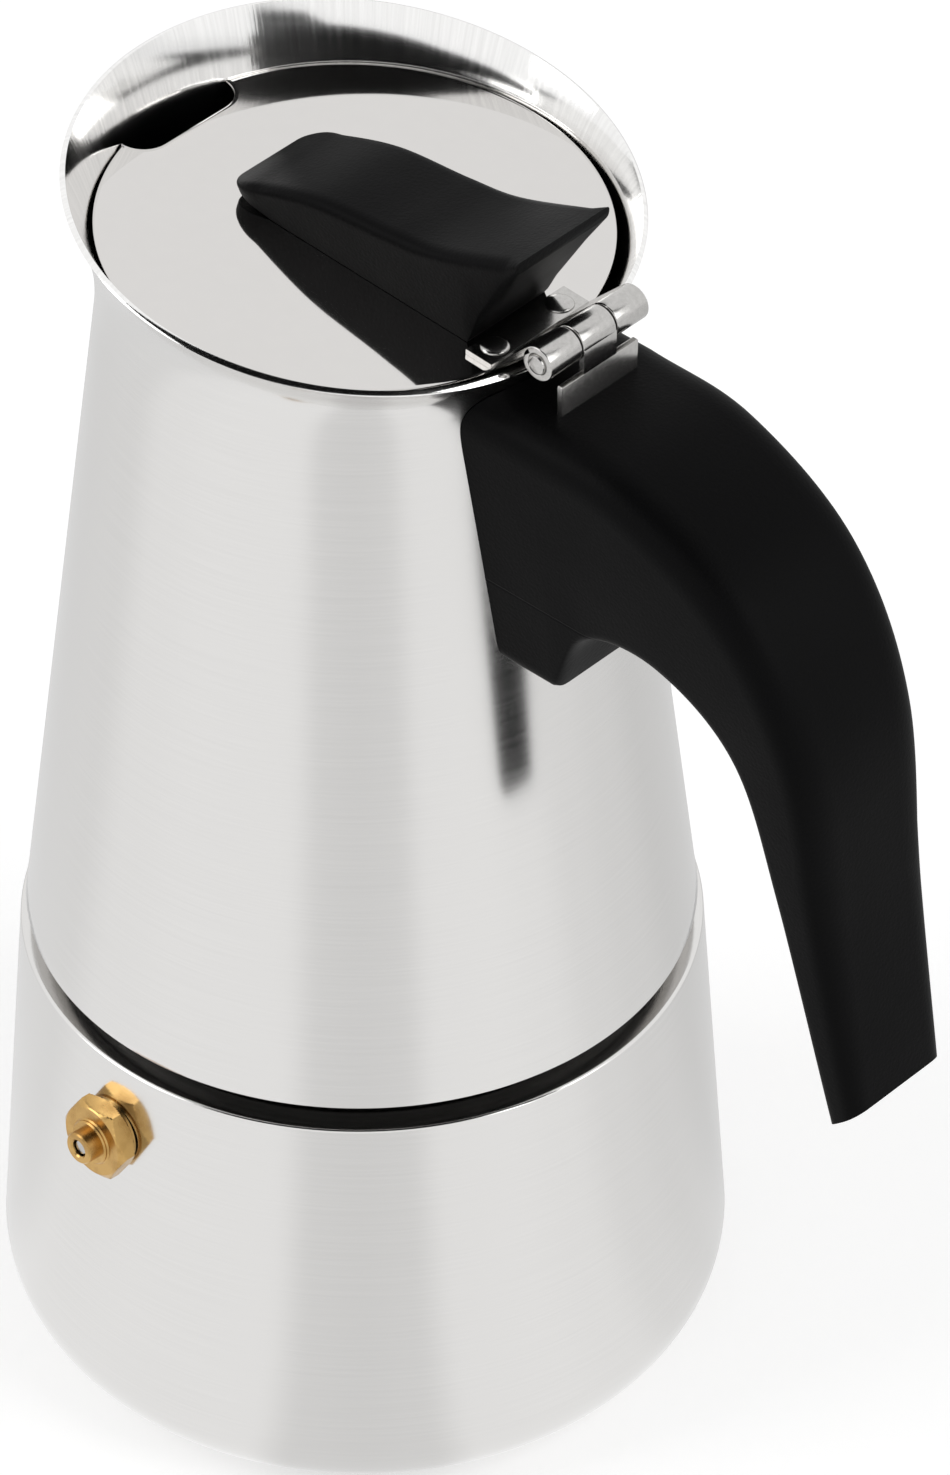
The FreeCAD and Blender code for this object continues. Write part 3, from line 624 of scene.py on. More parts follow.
@dataclass
class MeshKit:
    """Collects faces in millimetres and turns them into a finished object.

    Attributes:
        name: Name of the piece.
        body: Body that carries it.
        slot: Material slot that it stands for; not used.
        finishes: Its finishes, by material number.
        replaces: CAD nodes that it stands for.
        sharp: Angle between faces from which an edge shows, in radians.
        bm: The faces so far.
    """

    name: str
    body: Body
    slot: Slot
    finishes: Sequence[Finish]
    replaces: Sequence[str]
    sharp: float = SHARP_ANGLE
    bm: bmesh.types.BMesh = field(default_factory=bmesh.new)

    def grid(self, rows: Grid, wrap_rows: bool, wrap_columns: bool, finish: int = 0) -> None:
        """Faces between rows of points.

        Args:
            rows: Rows of equally many points.
            wrap_rows: Whether the last row joins the first.
            wrap_columns: Whether each row closes on itself.
            finish: Material number of the faces.
        """
        verts = [[self.bm.verts.new(p) for p in row] for row in rows]
        row_count, column_count = len(rows), len(rows[0])
        for i in range(row_count if wrap_rows else row_count - 1):
            low, high = verts[i], verts[(i + 1) % row_count]
            for j in range(column_count if wrap_columns else column_count - 1):
                k = (j + 1) % column_count
                self.bm.faces.new((low[j], low[k], high[k], high[j])).material_index = finish

    def lathe(self, outline: Sequence[Point], place: Matrix = Matrix(), around: int = AROUND) -> None:
        """A closed outline of radius and height, turned about the axis.

        Args:
            outline: Closed outline, in order.
            place: Where the axis stands.
            around: Number of steps round the axis.
        """
        rows = [[place @ polar(r, turn, z) for r, z in outline] for turn in turns_of(around)]
        self.grid(rows, True, True)

    def ring(self, radii: Point, heights: Point, edge: float, steps: int = 4, place: Matrix = Matrix(),
             around: int = AROUND) -> None:
        """A ring of rectangular section with softened edges.

        Args:
            radii: Inner and outer radius.
            heights: Lowest and highest place along the axis.
            edge: Setback of the edges.
            steps: Points on each edge.
            place: Where the axis stands.
            around: Number of steps round the axis.
        """
        (inner, outer), (low, high) = radii, heights
        corners = [(inner, low), (outer, low), (outer, high), (inner, high)]
        self.lathe(soften(corners, edge, steps), place, around)

    def loft(self, loops: Grid) -> None:
        """A skin over closed loops of points, with both ends closed by flat faces.

        Args:
            loops: The loops, in order.
        """
        self.grid(loops, False, True)
        for loop in (loops[0], loops[-1][::-1]):
            self.bm.faces.new([self.bm.verts.new(p) for p in loop])

    def finish(self) -> None:
        """Merges doubles, turns the faces outwards and hands the piece over to its body."""
        bmesh.ops.remove_doubles(self.bm, verts=self.bm.verts, dist=MERGE)
        bmesh.ops.dissolve_degenerate(self.bm, edges=self.bm.edges, dist=LEAST_EDGE)
        bmesh.ops.recalc_face_normals(self.bm, faces=self.bm.faces)
        bmesh.ops.scale(self.bm, vec=Vector((MM, MM, MM)), verts=self.bm.verts)
        mesh = bpy.data.meshes.new(self.name)
        self.bm.to_mesh(mesh)
        self.bm.free()
        mesh.shade_smooth()
        mesh.set_sharp_from_angle(angle=self.sharp)
        for finish in self.finishes:
            mesh.materials.append(finish.material())
        hand_over(new_object(self.name, mesh), self.body, self.replaces)


def hand_over(piece: bpy.types.Object, body: Body, replaces: Sequence[str]) -> None:
    """Makes a finished piece ride on its body.

    Args:
        piece: The finished object.
        body: Body that carries it.
        replaces: CAD nodes that it stands for.
    """
    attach(piece, body.value)
    if replaces:
        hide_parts(*replaces)
    LOG.info("%s: %d faces on %s", piece.name, len(piece.data.polygons), body.value)


def dress_nodes(finish: Finish, *nodes: str) -> None:
    """Gives CAD nodes that stay in view their finish.

    Args:
        finish: Their finish.
        *nodes: Names of the nodes.
    """
    for node in nodes:
        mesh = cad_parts[node].data
        mesh.materials.clear()
        mesh.materials.append(finish.material())


def node_size(node: str) -> tuple[Vector, Vector]:
    """Lowest and highest corner of a CAD node in millimetres."""
    low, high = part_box(node)
    return low / MM, high / MM


# Geometry node trees

class GrowTree:
    """A geometry node tree with named inputs, turned into a plain mesh once it is set up."""

    def __init__(self, name: str, inputs: dict[str, float]) -> None:
        """Starts a tree.

        Args:
            name: Name of the tree.
            inputs: Names of the inputs with their values.
        """
        self.tree = bpy.data.node_groups.new(name, "GeometryNodeTree")
        self.bench = NodeBench(self.tree)
        self.values: dict[str, float] = {}
        face = self.tree.interface
        face.new_socket("Geometry", in_out="INPUT", socket_type="NodeSocketGeometry")
        for label, value in inputs.items():
            socket = face.new_socket(label, in_out="INPUT", socket_type="NodeSocketFloat")
            self.values[socket.identifier] = value
        face.new_socket("Geometry", in_out="OUTPUT", socket_type="NodeSocketGeometry")
        self.given = self.bench.add("NodeGroupInput").outputs

    def make(self, kind: str, inputs: dict[str | int, object], **settings: object) -> Socket:
        """First output of a new node."""
        return self.bench.add(kind, inputs, **settings).outputs[0]

    def cylinder(self, sides: int, radius: Socket, depth: Socket) -> Socket:
        """A closed cylinder about the origin."""
        inputs = {"Vertices": sides, "Radius": radius, "Depth": depth}
        return self.make("GeometryNodeMeshCylinder", inputs)

    def on_seeds(self, shape: Socket) -> Socket:
        """A copy of a shape on every seed point."""
        inputs = {"Points": self.given["Geometry"], "Instance": shape}
        return self.make("GeometryNodeInstanceOnPoints", inputs)

    def close(self, shape: Socket, finish: Finish) -> None:
        """Ends the tree with realised instances and a material.

        Args:
            shape: Socket with the geometry.
            finish: Finish of the result.
        """
        real = self.make("GeometryNodeRealizeInstances", {"Geometry": shape})
        dressed = self.make("GeometryNodeSetMaterial", {"Geometry": real, "Material": finish.material()})
        self.bench.add("NodeGroupOutput", {0: dressed})

    def grow(self, name: str, seeds: Sequence[Vector], place: Matrix) -> bpy.types.Object:
        """Runs the tree on seed points and keeps the result as a plain mesh.

        Args:
            name: Name of the piece.
            seeds: Points in millimetres that the tree starts from.
            place: Where the grown mesh is laid, in millimetres.

        Returns:
            The piece, not yet riding on anything.
        """
        start = bpy.data.meshes.new(name + "_seeds")
        start.from_pydata([tuple(p * MM) for p in seeds], [], [])
        piece = new_object(name, start)
        modifier = piece.modifiers.new("grow", "NODES")
        modifier.node_group = self.tree
        for key, value in self.values.items():
            modifier[key] = value
        graph = bpy.context.evaluated_depsgraph_get()
        grown = piece.evaluated_get(graph)
        mesh = bpy.data.meshes.new_from_object(grown, preserve_all_data_layers=True, depsgraph=graph)
        piece.modifiers.remove(modifier)
        piece.data = mesh
        bpy.data.meshes.remove(start)
        scaled = place.copy()
        scaled.translation *= MM
        mesh.transform(scaled)
        mesh.name = name
        mesh.shade_smooth()
        mesh.set_sharp_from_angle(angle=SHARP_ANGLE)
        return piece


def thread_tree(radius: float, rise: float, turns: float, ridge: float, finish: Finish) -> GrowTree:
    """A tree that winds a thread ridge round the axis.

    Args:
        radius: Radius of the ridge's middle in millimetres.
        rise: Rise of the whole ridge in millimetres.
        turns: Number of turns.
        ridge: Radius of the ridge's section in millimetres.
        finish: Finish of the thread.

    Returns:
        The tree.
    """
    sizes = {"Radius": radius * MM, "Rise": rise * MM, "Turns": turns, "Ridge": ridge * MM}
    tree = GrowTree("thread_ridge", sizes)
    size = tree.given
    line = tree.make("GeometryNodeCurveSpiral", {
        "Resolution": SPIRAL_STEPS, "Rotations": size["Turns"], "Height": size["Rise"],
        "Start Radius": size["Radius"], "End Radius": size["Radius"]})
    inputs = {"Resolution": RIDGE_SIDES, "Radius": size["Ridge"]}
    section = tree.make("GeometryNodeCurvePrimitiveCircle", inputs)
    inputs = {"Curve": line, "Profile Curve": section, "Fill Caps": True}
    tree.close(tree.make("GeometryNodeCurveToMesh", inputs), finish)
    return tree


def perforation_tree(radius: float, thick: float, hole: float, finish: Finish) -> GrowTree:
    """A tree that drills a disc at every seed point.

    Args:
        radius: Radius of the disc in millimetres.
        thick: Its thickness in millimetres.
        hole: Radius of a hole in millimetres.
        finish: Finish of the disc.

    Returns:
        The tree.
    """
    tree = GrowTree("perforated_disc", {"Radius": radius * MM, "Thickness": thick * MM, "Hole": hole * MM})
    size = tree.given
    through = tree.bench.math("MULTIPLY", size["Thickness"], DRILL_REACH)
    disc = tree.cylinder(DISC_SIDES, size["Radius"], size["Thickness"])
    inputs = {0: disc, 1: tree.on_seeds(tree.cylinder(DRILL_SIDES, size["Hole"], through))}
    tree.close(tree.make("GeometryNodeMeshBoolean", inputs, operation="DIFFERENCE"), finish)
    return tree


def stud_tree(shank: float, length: float, head: float, dome: float, finish: Finish) -> GrowTree:
    """A tree that sets a domed stud on every seed point, its head upwards.

    Args:
        shank: Radius of the shank in millimetres.
        length: Length of the shank below the head in millimetres.
        head: Radius of the head in millimetres.
        dome: Height of the head in millimetres.
        finish: Finish of the studs.

    Returns:
        The tree.
    """
    sizes = {"Shank": shank, "Length": length, "Head": head, "Dome": dome}
    tree = GrowTree("domed_stud", {label: value * MM for label, value in sizes.items()})
    bench, size = tree.bench, tree.given
    rod = tree.cylinder(ROD_SIDES, size["Shank"], size["Length"])
    drop = bench.joined(0.0, 0.0, bench.math("MULTIPLY", size["Length"], -0.5))
    inputs = {"Segments": BALL_SIDES, "Rings": BALL_RINGS, "Radius": size["Head"]}
    ball = tree.make("GeometryNodeMeshUVSphere", inputs)
    squat = bench.joined(1.0, 1.0, bench.math("DIVIDE", size["Dome"], size["Head"]))
    both = bench.add("GeometryNodeJoinGeometry")
    for inputs in ({"Geometry": ball, "Scale": squat}, {"Geometry": rod, "Translation": drop}):
        bench.feed(both, {0: tree.make("GeometryNodeTransform", inputs)})
    tree.close(tree.on_seeds(both.outputs[0]), finish)
    return tree


def ring_places(rings: int, pitch: float) -> list[Vector]:
    """Places of holes on rings of 6, 12, 18 and more round a central one.

    Args:
        rings: Number of rings.
        pitch: Distance between rings in millimetres.

    Returns:
        The places.
    """
    places = [Vector((0, 0, 0))]
    for number in range(1, rings + 1):
        places += [polar(1.0, turn) * (number * pitch) for turn in turns_of(6 * number)]
    return places


# Boiler and safety valve

@dataclass
class Boiler:
    """Drawn pot with a rounded bottom corner and a threaded neck."""

    base_r: float = 50.0
    corner_r: float = 12.0
    base_t: float = 1.6
    height: float = 66.0
    top_r: float = 46.15
    edge_r: float = 0.5
    inner_edge_r: float = 0.2
    sheet: float = 0.8
    neck_r: float = 39.6
    neck_wall: float = 2.0
    neck_depth: float = 4.0
    neck_rise: float = 9.0
    neck_edge: float = 0.3
    flange_w: float = 2.4
    flange_t: float = 1.0
    thread_pitch: float = 3.0
    thread_turns: float = 2.0
    thread_ridge: float = 0.25
    base_rows: int = 6
    wall_rows: int = 24
    edge_rows: int = 8

    def taper(self) -> float:
        """Change of the wall's radius with height."""
        return (self.base_r - self.top_r) / (self.height - self.corner_r)

    def radius(self, z: float) -> float:
        """Outer radius of the wall at a height."""
        return self.top_r + self.taper() * (self.height - z)

    def side(self, inset: float, foot: float) -> list[Point]:
        """Half outline from the middle of the base to the mouth.

        Args:
            inset: Distance inside the outer face.
            foot: Height of the base's face.

        Returns:
            Radius and height of each point.
        """
        corner, top = self.corner_r - inset, self.height - inset
        edge = max(self.edge_r - inset, self.inner_edge_r)
        top_r, flat_r = self.radius(top - edge) - inset, self.base_r - self.corner_r
        line = [(r, foot) for r in spread(0.0, flat_r, self.base_rows)]
        line += arc((flat_r, foot + corner), corner, -90, 0, self.wall_rows)[1:]
        radii = spread(self.base_r - inset, top_r, self.wall_rows)
        heights = spread(foot + corner, top - edge, self.wall_rows)
        line += list(zip(radii, heights))[1:]
        line += arc((top_r - edge, top - edge), edge, 0, 90, self.edge_rows)[1:]
        return line + [(self.neck_r, top)]

    def build(self) -> None:
        """Makes the shell and the neck."""
        shell = MeshKit("boiler_skin", Body.BOILER, Slot.SATIN, [SATIN_STEEL], ["boiler_shell"])
        shell.lathe(self.side(0.0, 0.0) + self.side(self.sheet, self.base_t)[::-1])
        shell.finish()
        foot, top = self.height - self.neck_depth, self.height + self.neck_rise
        flange_top = self.height - self.sheet
        flange = flange_top - self.flange_t
        inner, outer, wide = self.neck_r - self.neck_wall, self.neck_r, self.neck_r + self.flange_w
        neck = MeshKit("boiler_neck_ring", Body.BOILER, Slot.POLISHED, [INNER_STEEL], ["boiler_neck"])
        neck.lathe(soften([(inner, foot), (outer, foot), (outer, flange), (wide, flange), (wide, flange_top),
                           (outer, flange_top), (outer, top), (inner, top)], self.neck_edge))
        neck.finish()
        rise = self.thread_pitch * self.thread_turns
        thread = thread_tree(self.neck_r, rise, self.thread_turns, self.thread_ridge, INNER_STEEL)
        place = Matrix.Translation((0, 0, self.height + (self.neck_rise - rise) / 2))
        hand_over(thread.grow("boiler_neck_thread", [Vector()], place), Body.BOILER, [])


@dataclass
class SafetyValve:
    """Brass relief valve: body with a flange and a shank, hexagonal cap with a stepped nipple."""

    boiler: Boiler
    angle: float = -92.0
    height: float = 54.5
    flange_r: float = 4.8
    flange_t: float = 0.5
    hexagon: float = 10.4
    hexagon_t: float = 3.0
    hexagon_twist: float = 30.0
    face_share: float = 0.97
    step_r: float = 3.2
    step_t: float = 0.6
    nipple_r: float = 2.3
    nipple_t: float = 2.5
    mouth_r: float = 1.2
    bore_r: float = 2.6
    shank_r: float = 4.0
    shank_l: float = 7.5
    chamfer: float = 0.8
    chamfer_rows: int = 6
    edge_angle: float = 20.0
    facets: int = 96

    def place(self) -> Matrix:
        """Frame on the boiler wall whose Z axis points out along the valve.

        Returns:
            The frame.
        """
        turn, lean = math.radians(self.angle), math.atan(self.boiler.taper())
        out = polar(1.0, turn)
        axis = out * math.cos(lean) + UP * math.sin(lean)
        side = axis.cross(UP).normalized()
        spot = out * self.boiler.radius(self.height) + UP * self.height
        return axes_at(side.cross(axis), -side, axis, spot)

    def ring(self, limit: float, z: float, place: Matrix) -> list[Vector]:
        """A ring of points on a hexagonal bar that is turned down to a radius.

        Args:
            limit: The largest radius.
            z: Place along the axis.
            place: Frame of the bar.

        Returns:
            The points.
        """
        points = []
        for turn in turns_of(self.facets):
            radius = min(self.hexagon / 2 / math.cos(turn % (math.pi / 3) - math.pi / 6), limit)
            points.append(place @ polar(radius, turn, z))
        return points

    def stations(self) -> list[Point]:
        """Closed outline of the cap, before its flats are cut.

        Returns:
            Radius and height of each point.
        """
        low, high = self.flange_t, self.flange_t + self.hexagon_t
        corner, flat = self.hexagon / math.sqrt(3), self.hexagon / 2 * self.face_share
        cone = [(flat + (corner - flat) * t, self.chamfer * t) for t in spread(0.0, 1.0, self.chamfer_rows)]
        line = [(r, low + z) for r, z in cone] + [(r, high - z) for r, z in reversed(cone)]
        ledge, tip, soft = high + self.step_t, high + self.nipple_t, self.step_t / 3
        line += [(self.step_r + soft, high), (self.step_r, high + soft), (self.step_r, ledge - soft)]
        line += [(self.step_r - soft, ledge), (self.nipple_r, ledge), (self.nipple_r, tip - soft)]
        line += [(self.nipple_r - soft, tip), (self.mouth_r + soft, tip), (self.mouth_r, tip - soft)]
        return line + [(self.mouth_r, low)]

    def build(self) -> None:
        """Makes the body and the cap, and dresses the pieces that stay as they are."""
        place, sharp = self.place(), math.radians(self.edge_angle)
        body = MeshKit("valve_body_brass", Body.BOILER, Slot.BRASS, [VALVE_BRASS], ["valve_body"], sharp)
        body.lathe([(self.bore_r, -self.shank_l), (self.shank_r, -self.shank_l), (self.shank_r, 0.0),
                    (self.flange_r, 0.0), (self.flange_r, self.flange_t), (self.bore_r, self.flange_t)],
                   place, self.facets)
        body.finish()
        turned = place @ Matrix.Rotation(math.radians(self.hexagon_twist), 4, "Z")
        cap = MeshKit("valve_cap_brass", Body.BOILER, Slot.BRASS, [VALVE_BRASS], ["valve_cap"], sharp)
        cap.grid([self.ring(radius, z, turned) for radius, z in self.stations()], True, True)
        cap.finish()
        dress_nodes(VALVE_BRASS, "valve_nut")
        dress_nodes(HINGE_STEEL, "valve_pin", "valve_spring")
        dress_nodes(SEAL_RUBBER, "valve_washer")


# Funnel, gasket and filter plate

@dataclass
class CoffeeStack:
    """Loose pieces between boiler and upper chamber."""

    wall: float = 0.6
    cup_edge: float = 0.5
    edge_steps: int = 5
    stem_edge: float = 0.2
    stem_around: int = 64
    hole_r: float = 0.75
    hole_pitch: float = 3.0
    rim_w: float = 5.0
    gasket_w: float = 5.4
    gasket_edge: float = 0.7

    def perforated(self, node: str, name: str, body: Body) -> None:
        """A drilled disc in the place of a node.

        Args:
            node: The CAD node that it stands for.
            name: Name of the piece.
            body: Body that carries it.
        """
        low, high = node_size(node)
        radius = (high.x - low.x) / 2
        holes = ring_places(int((radius - self.rim_w) / self.hole_pitch), self.hole_pitch)
        tree = perforation_tree(radius, high.z - low.z, self.hole_r, INNER_STEEL)
        piece = tree.grow(name, holes, Matrix.Translation((0, 0, (low.z + high.z) / 2)))
        hand_over(piece, body, [node])

    def build(self) -> None:
        """Makes the funnel, its screen, the gasket and the filter plate."""
        low, high = node_size("funnel_basket")
        stem_low, stem_high = node_size("funnel_stem")
        screen_low, screen_high = node_size("funnel_screen")
        wall, stem_r, bore_r = self.wall, stem_high.x, stem_high.x - self.wall
        inner, cup_r, rim_z = screen_high.x, screen_high.x + wall, high.z - wall
        basket = MeshKit("funnel_cup", Body.FUNNEL, Slot.POLISHED, [INNER_STEEL], ["funnel_basket"])
        basket.lathe(soften([(stem_r, low.z), (cup_r, screen_low.z - wall), (cup_r, rim_z), (high.x, rim_z),
                             (high.x, high.z), (inner, high.z), (inner, screen_low.z),
                             (bore_r, low.z + wall), (bore_r, low.z)], self.cup_edge, self.edge_steps))
        basket.finish()
        stem = MeshKit("funnel_tube", Body.FUNNEL, Slot.POLISHED, [INNER_STEEL], ["funnel_stem"])
        stem.ring((bore_r, stem_r), (stem_low.z, stem_high.z), self.stem_edge, around=self.stem_around)
        stem.finish()
        self.perforated("funnel_screen", "funnel_sieve", Body.FUNNEL)
        self.perforated("filter_plate", "filter_sieve", Body.FILTER)
        low, high = node_size("gasket")
        gasket = MeshKit("gasket_ring", Body.GASKET, Slot.RUBBER, [SEAL_RUBBER], ["gasket"])
        gasket.ring((high.x - self.gasket_w, high.x), (low.z, high.z), self.gasket_edge, self.edge_steps)
        gasket.finish()


# Upper chamber

@dataclass
class UpperChamber:
    """Conical chamber with a flared oblique rim, its threaded collar, floor and riser."""

    foot_z: float = 69.1
    foot_r: float = 45.3
    foot_edge: float = 0.5
    foot_round: float = 0.12
    taper: float = 0.121
    throat_z: float = 173.5
    bend: float = 7.0
    crook: float = 0.25
    rim_r: float = 37.3
    rim_z: float = 184.4
    rim_tilt: float = 8.5
    rim_crown: float = 0.35
    rim_shoulder: float = 0.7
    sheet: float = 0.8
    collar_r: float = 39.95
    collar_wall: float = 1.5
    collar_edge: float = 0.4
    column_foot_r: float = 9.0
    column_wall: float = 0.8
    column_edge: float = 1.2
    column_steps: int = 6
    column_around: int = 96
    floor_edge: float = 0.2
    wall_rows: int = 40
    flare_rows: int = 28
    satin_rows: int = 4

    def radius(self, z: float) -> float:
        """Outer radius of the cone at a height."""
        return self.foot_r - self.taper * (z - self.foot_z)

    def on_cone(self, turn: float, z: float) -> Vector:
        """Point of the cone at an angle and a height."""
        return polar(self.radius(z), turn, z)

    def rim(self, turn: float) -> Vector:
        """Point of the oblique rim at an angle about the axis.

        Args:
            turn: The angle in radians.

        Returns:
            The point.
        """
        tilt = math.radians(self.rim_tilt)
        x, y = self.rim_r * math.cos(turn), self.rim_r * math.sin(turn)
        return Vector((x * math.cos(tilt), y, self.rim_z - x * math.sin(tilt)))

    def skin(self, turn: float) -> list[Vector]:
        """Outer face at one angle, from the foot to the rim.

        Args:
            turn: The angle in radians.

        Returns:
            Points of the face.
        """
        start_z = self.throat_z - self.bend
        line = [self.on_cone(turn, z) for z in spread(self.foot_z, start_z, self.wall_rows)]
        start, end = self.on_cone(turn, start_z), self.rim(turn)
        middle = self.on_cone(turn, self.throat_z + self.crook * (end.z - self.throat_z))
        return line + [bow(start, middle, end, t) for t in spread(0.0, 1.0, self.flare_rows)[1:]]

    def wall_x(self, y: float, z: float) -> float:
        """Where the outer face lies on the handle's side.

        Args:
            y: Place across.
            z: Height.

        Returns:
            Its X.
        """
        line = self.skin(math.asin(y / self.radius(z)))
        radius = height_at([(spot.z, spot.xy.length) for spot in line], z)
        return math.sqrt(radius ** 2 - y ** 2)

    def inner(self, line: list[Vector], turn: float) -> list[Vector]:
        """Inner face at one angle, one sheet inside the outer one.

        Args:
            line: Points of the outer face.
            turn: The angle in radians.

        Returns:
            Points of the inner face.
        """
        hoop = Vector((-math.sin(turn), math.cos(turn), 0))
        befores, afters = [line[0]] + line[:-1], line[1:] + [line[-1]]
        return [spot - hoop.cross(after - before).normalized() * self.sheet
                for before, spot, after in zip(befores, line, afters)]

    def build_shell(self) -> None:
        """Makes the shell: satin outside, radially polished flare inside."""
        finishes = [SATIN_STEEL, FLARE_STEEL, CHAMBER_STEEL]
        shell = MeshKit("upper_skin", Body.UPPER, Slot.SATIN, finishes, ["upper_shell"])
        lip_r, split = self.collar_r + self.collar_wall, self.wall_rows + self.satin_rows
        outside, edge, flare, chamber = [], [], [], []
        for turn in turns_of(AROUND):
            hub, line = polar(1.0, turn), self.skin(turn)
            wall = self.inner(line, turn)
            foot, rim, back = line[0], line[-1], wall[-1]
            lip = hub * lip_r + UP * (self.foot_z + self.sheet)
            outside.append([lip, hub * lip_r + UP * self.foot_z, foot - hub * self.foot_edge,
                            foot + (UP - hub) * self.foot_round, foot + UP * self.foot_edge] + line[1:])
            lift = (rim - line[-2]).normalized() * (self.sheet * self.rim_crown)
            slope = lift * self.rim_shoulder
            edge.append([rim, rim + slope, (rim + back) / 2 + lift, back + slope, back])
            flare.append(wall[split:][::-1])
            chamber.append(wall[1:split + 1][::-1] + [wall[0] + UP * self.sheet, lip])
        for rows, finish in ((outside, 0), (edge, 1), (flare, 1), (chamber, 2)):
            shell.grid(rows, True, False, finish)
        shell.finish()

    def build_inside(self) -> None:
        """Makes the collar, the floor and the riser."""
        low, high = node_size("threaded_collar")
        # The collar wears the near-black steel, painted shade for the dark gap under the chamber
        collar = MeshKit("collar_ring", Body.UPPER, Slot.POLISHED, [COLLAR_SHADE_STEEL], ["threaded_collar"])
        collar.ring((self.collar_r, self.collar_r + self.collar_wall), (low.z, high.z), self.collar_edge)
        collar.finish()
        low, high = node_size("riser_column")
        floor_low, floor_high = node_size("chamber_floor")
        replaced = ["riser_column", "chamber_floor"]
        column = MeshKit("riser_tube", Body.UPPER, Slot.POLISHED, [INNER_STEEL], replaced)
        foot_r, top_r, wall = self.column_foot_r, node_size("riser_cap")[1].x, self.column_wall
        column.lathe(soften([(foot_r - wall, low.z), (high.x, low.z), (high.x, low.z + wall),
                             (foot_r, low.z + wall), (top_r, high.z), (top_r - wall, high.z)],
                            self.column_edge, self.column_steps), around=self.column_around)
        column.ring((foot_r, floor_high.x), (floor_low.z, floor_high.z), self.floor_edge)
        column.finish()
        dress_nodes(INNER_STEEL, "riser_cap")

    def build(self) -> None:
        """Makes the whole chamber."""
        self.build_shell()
        self.build_inside()


# Lid and hinge

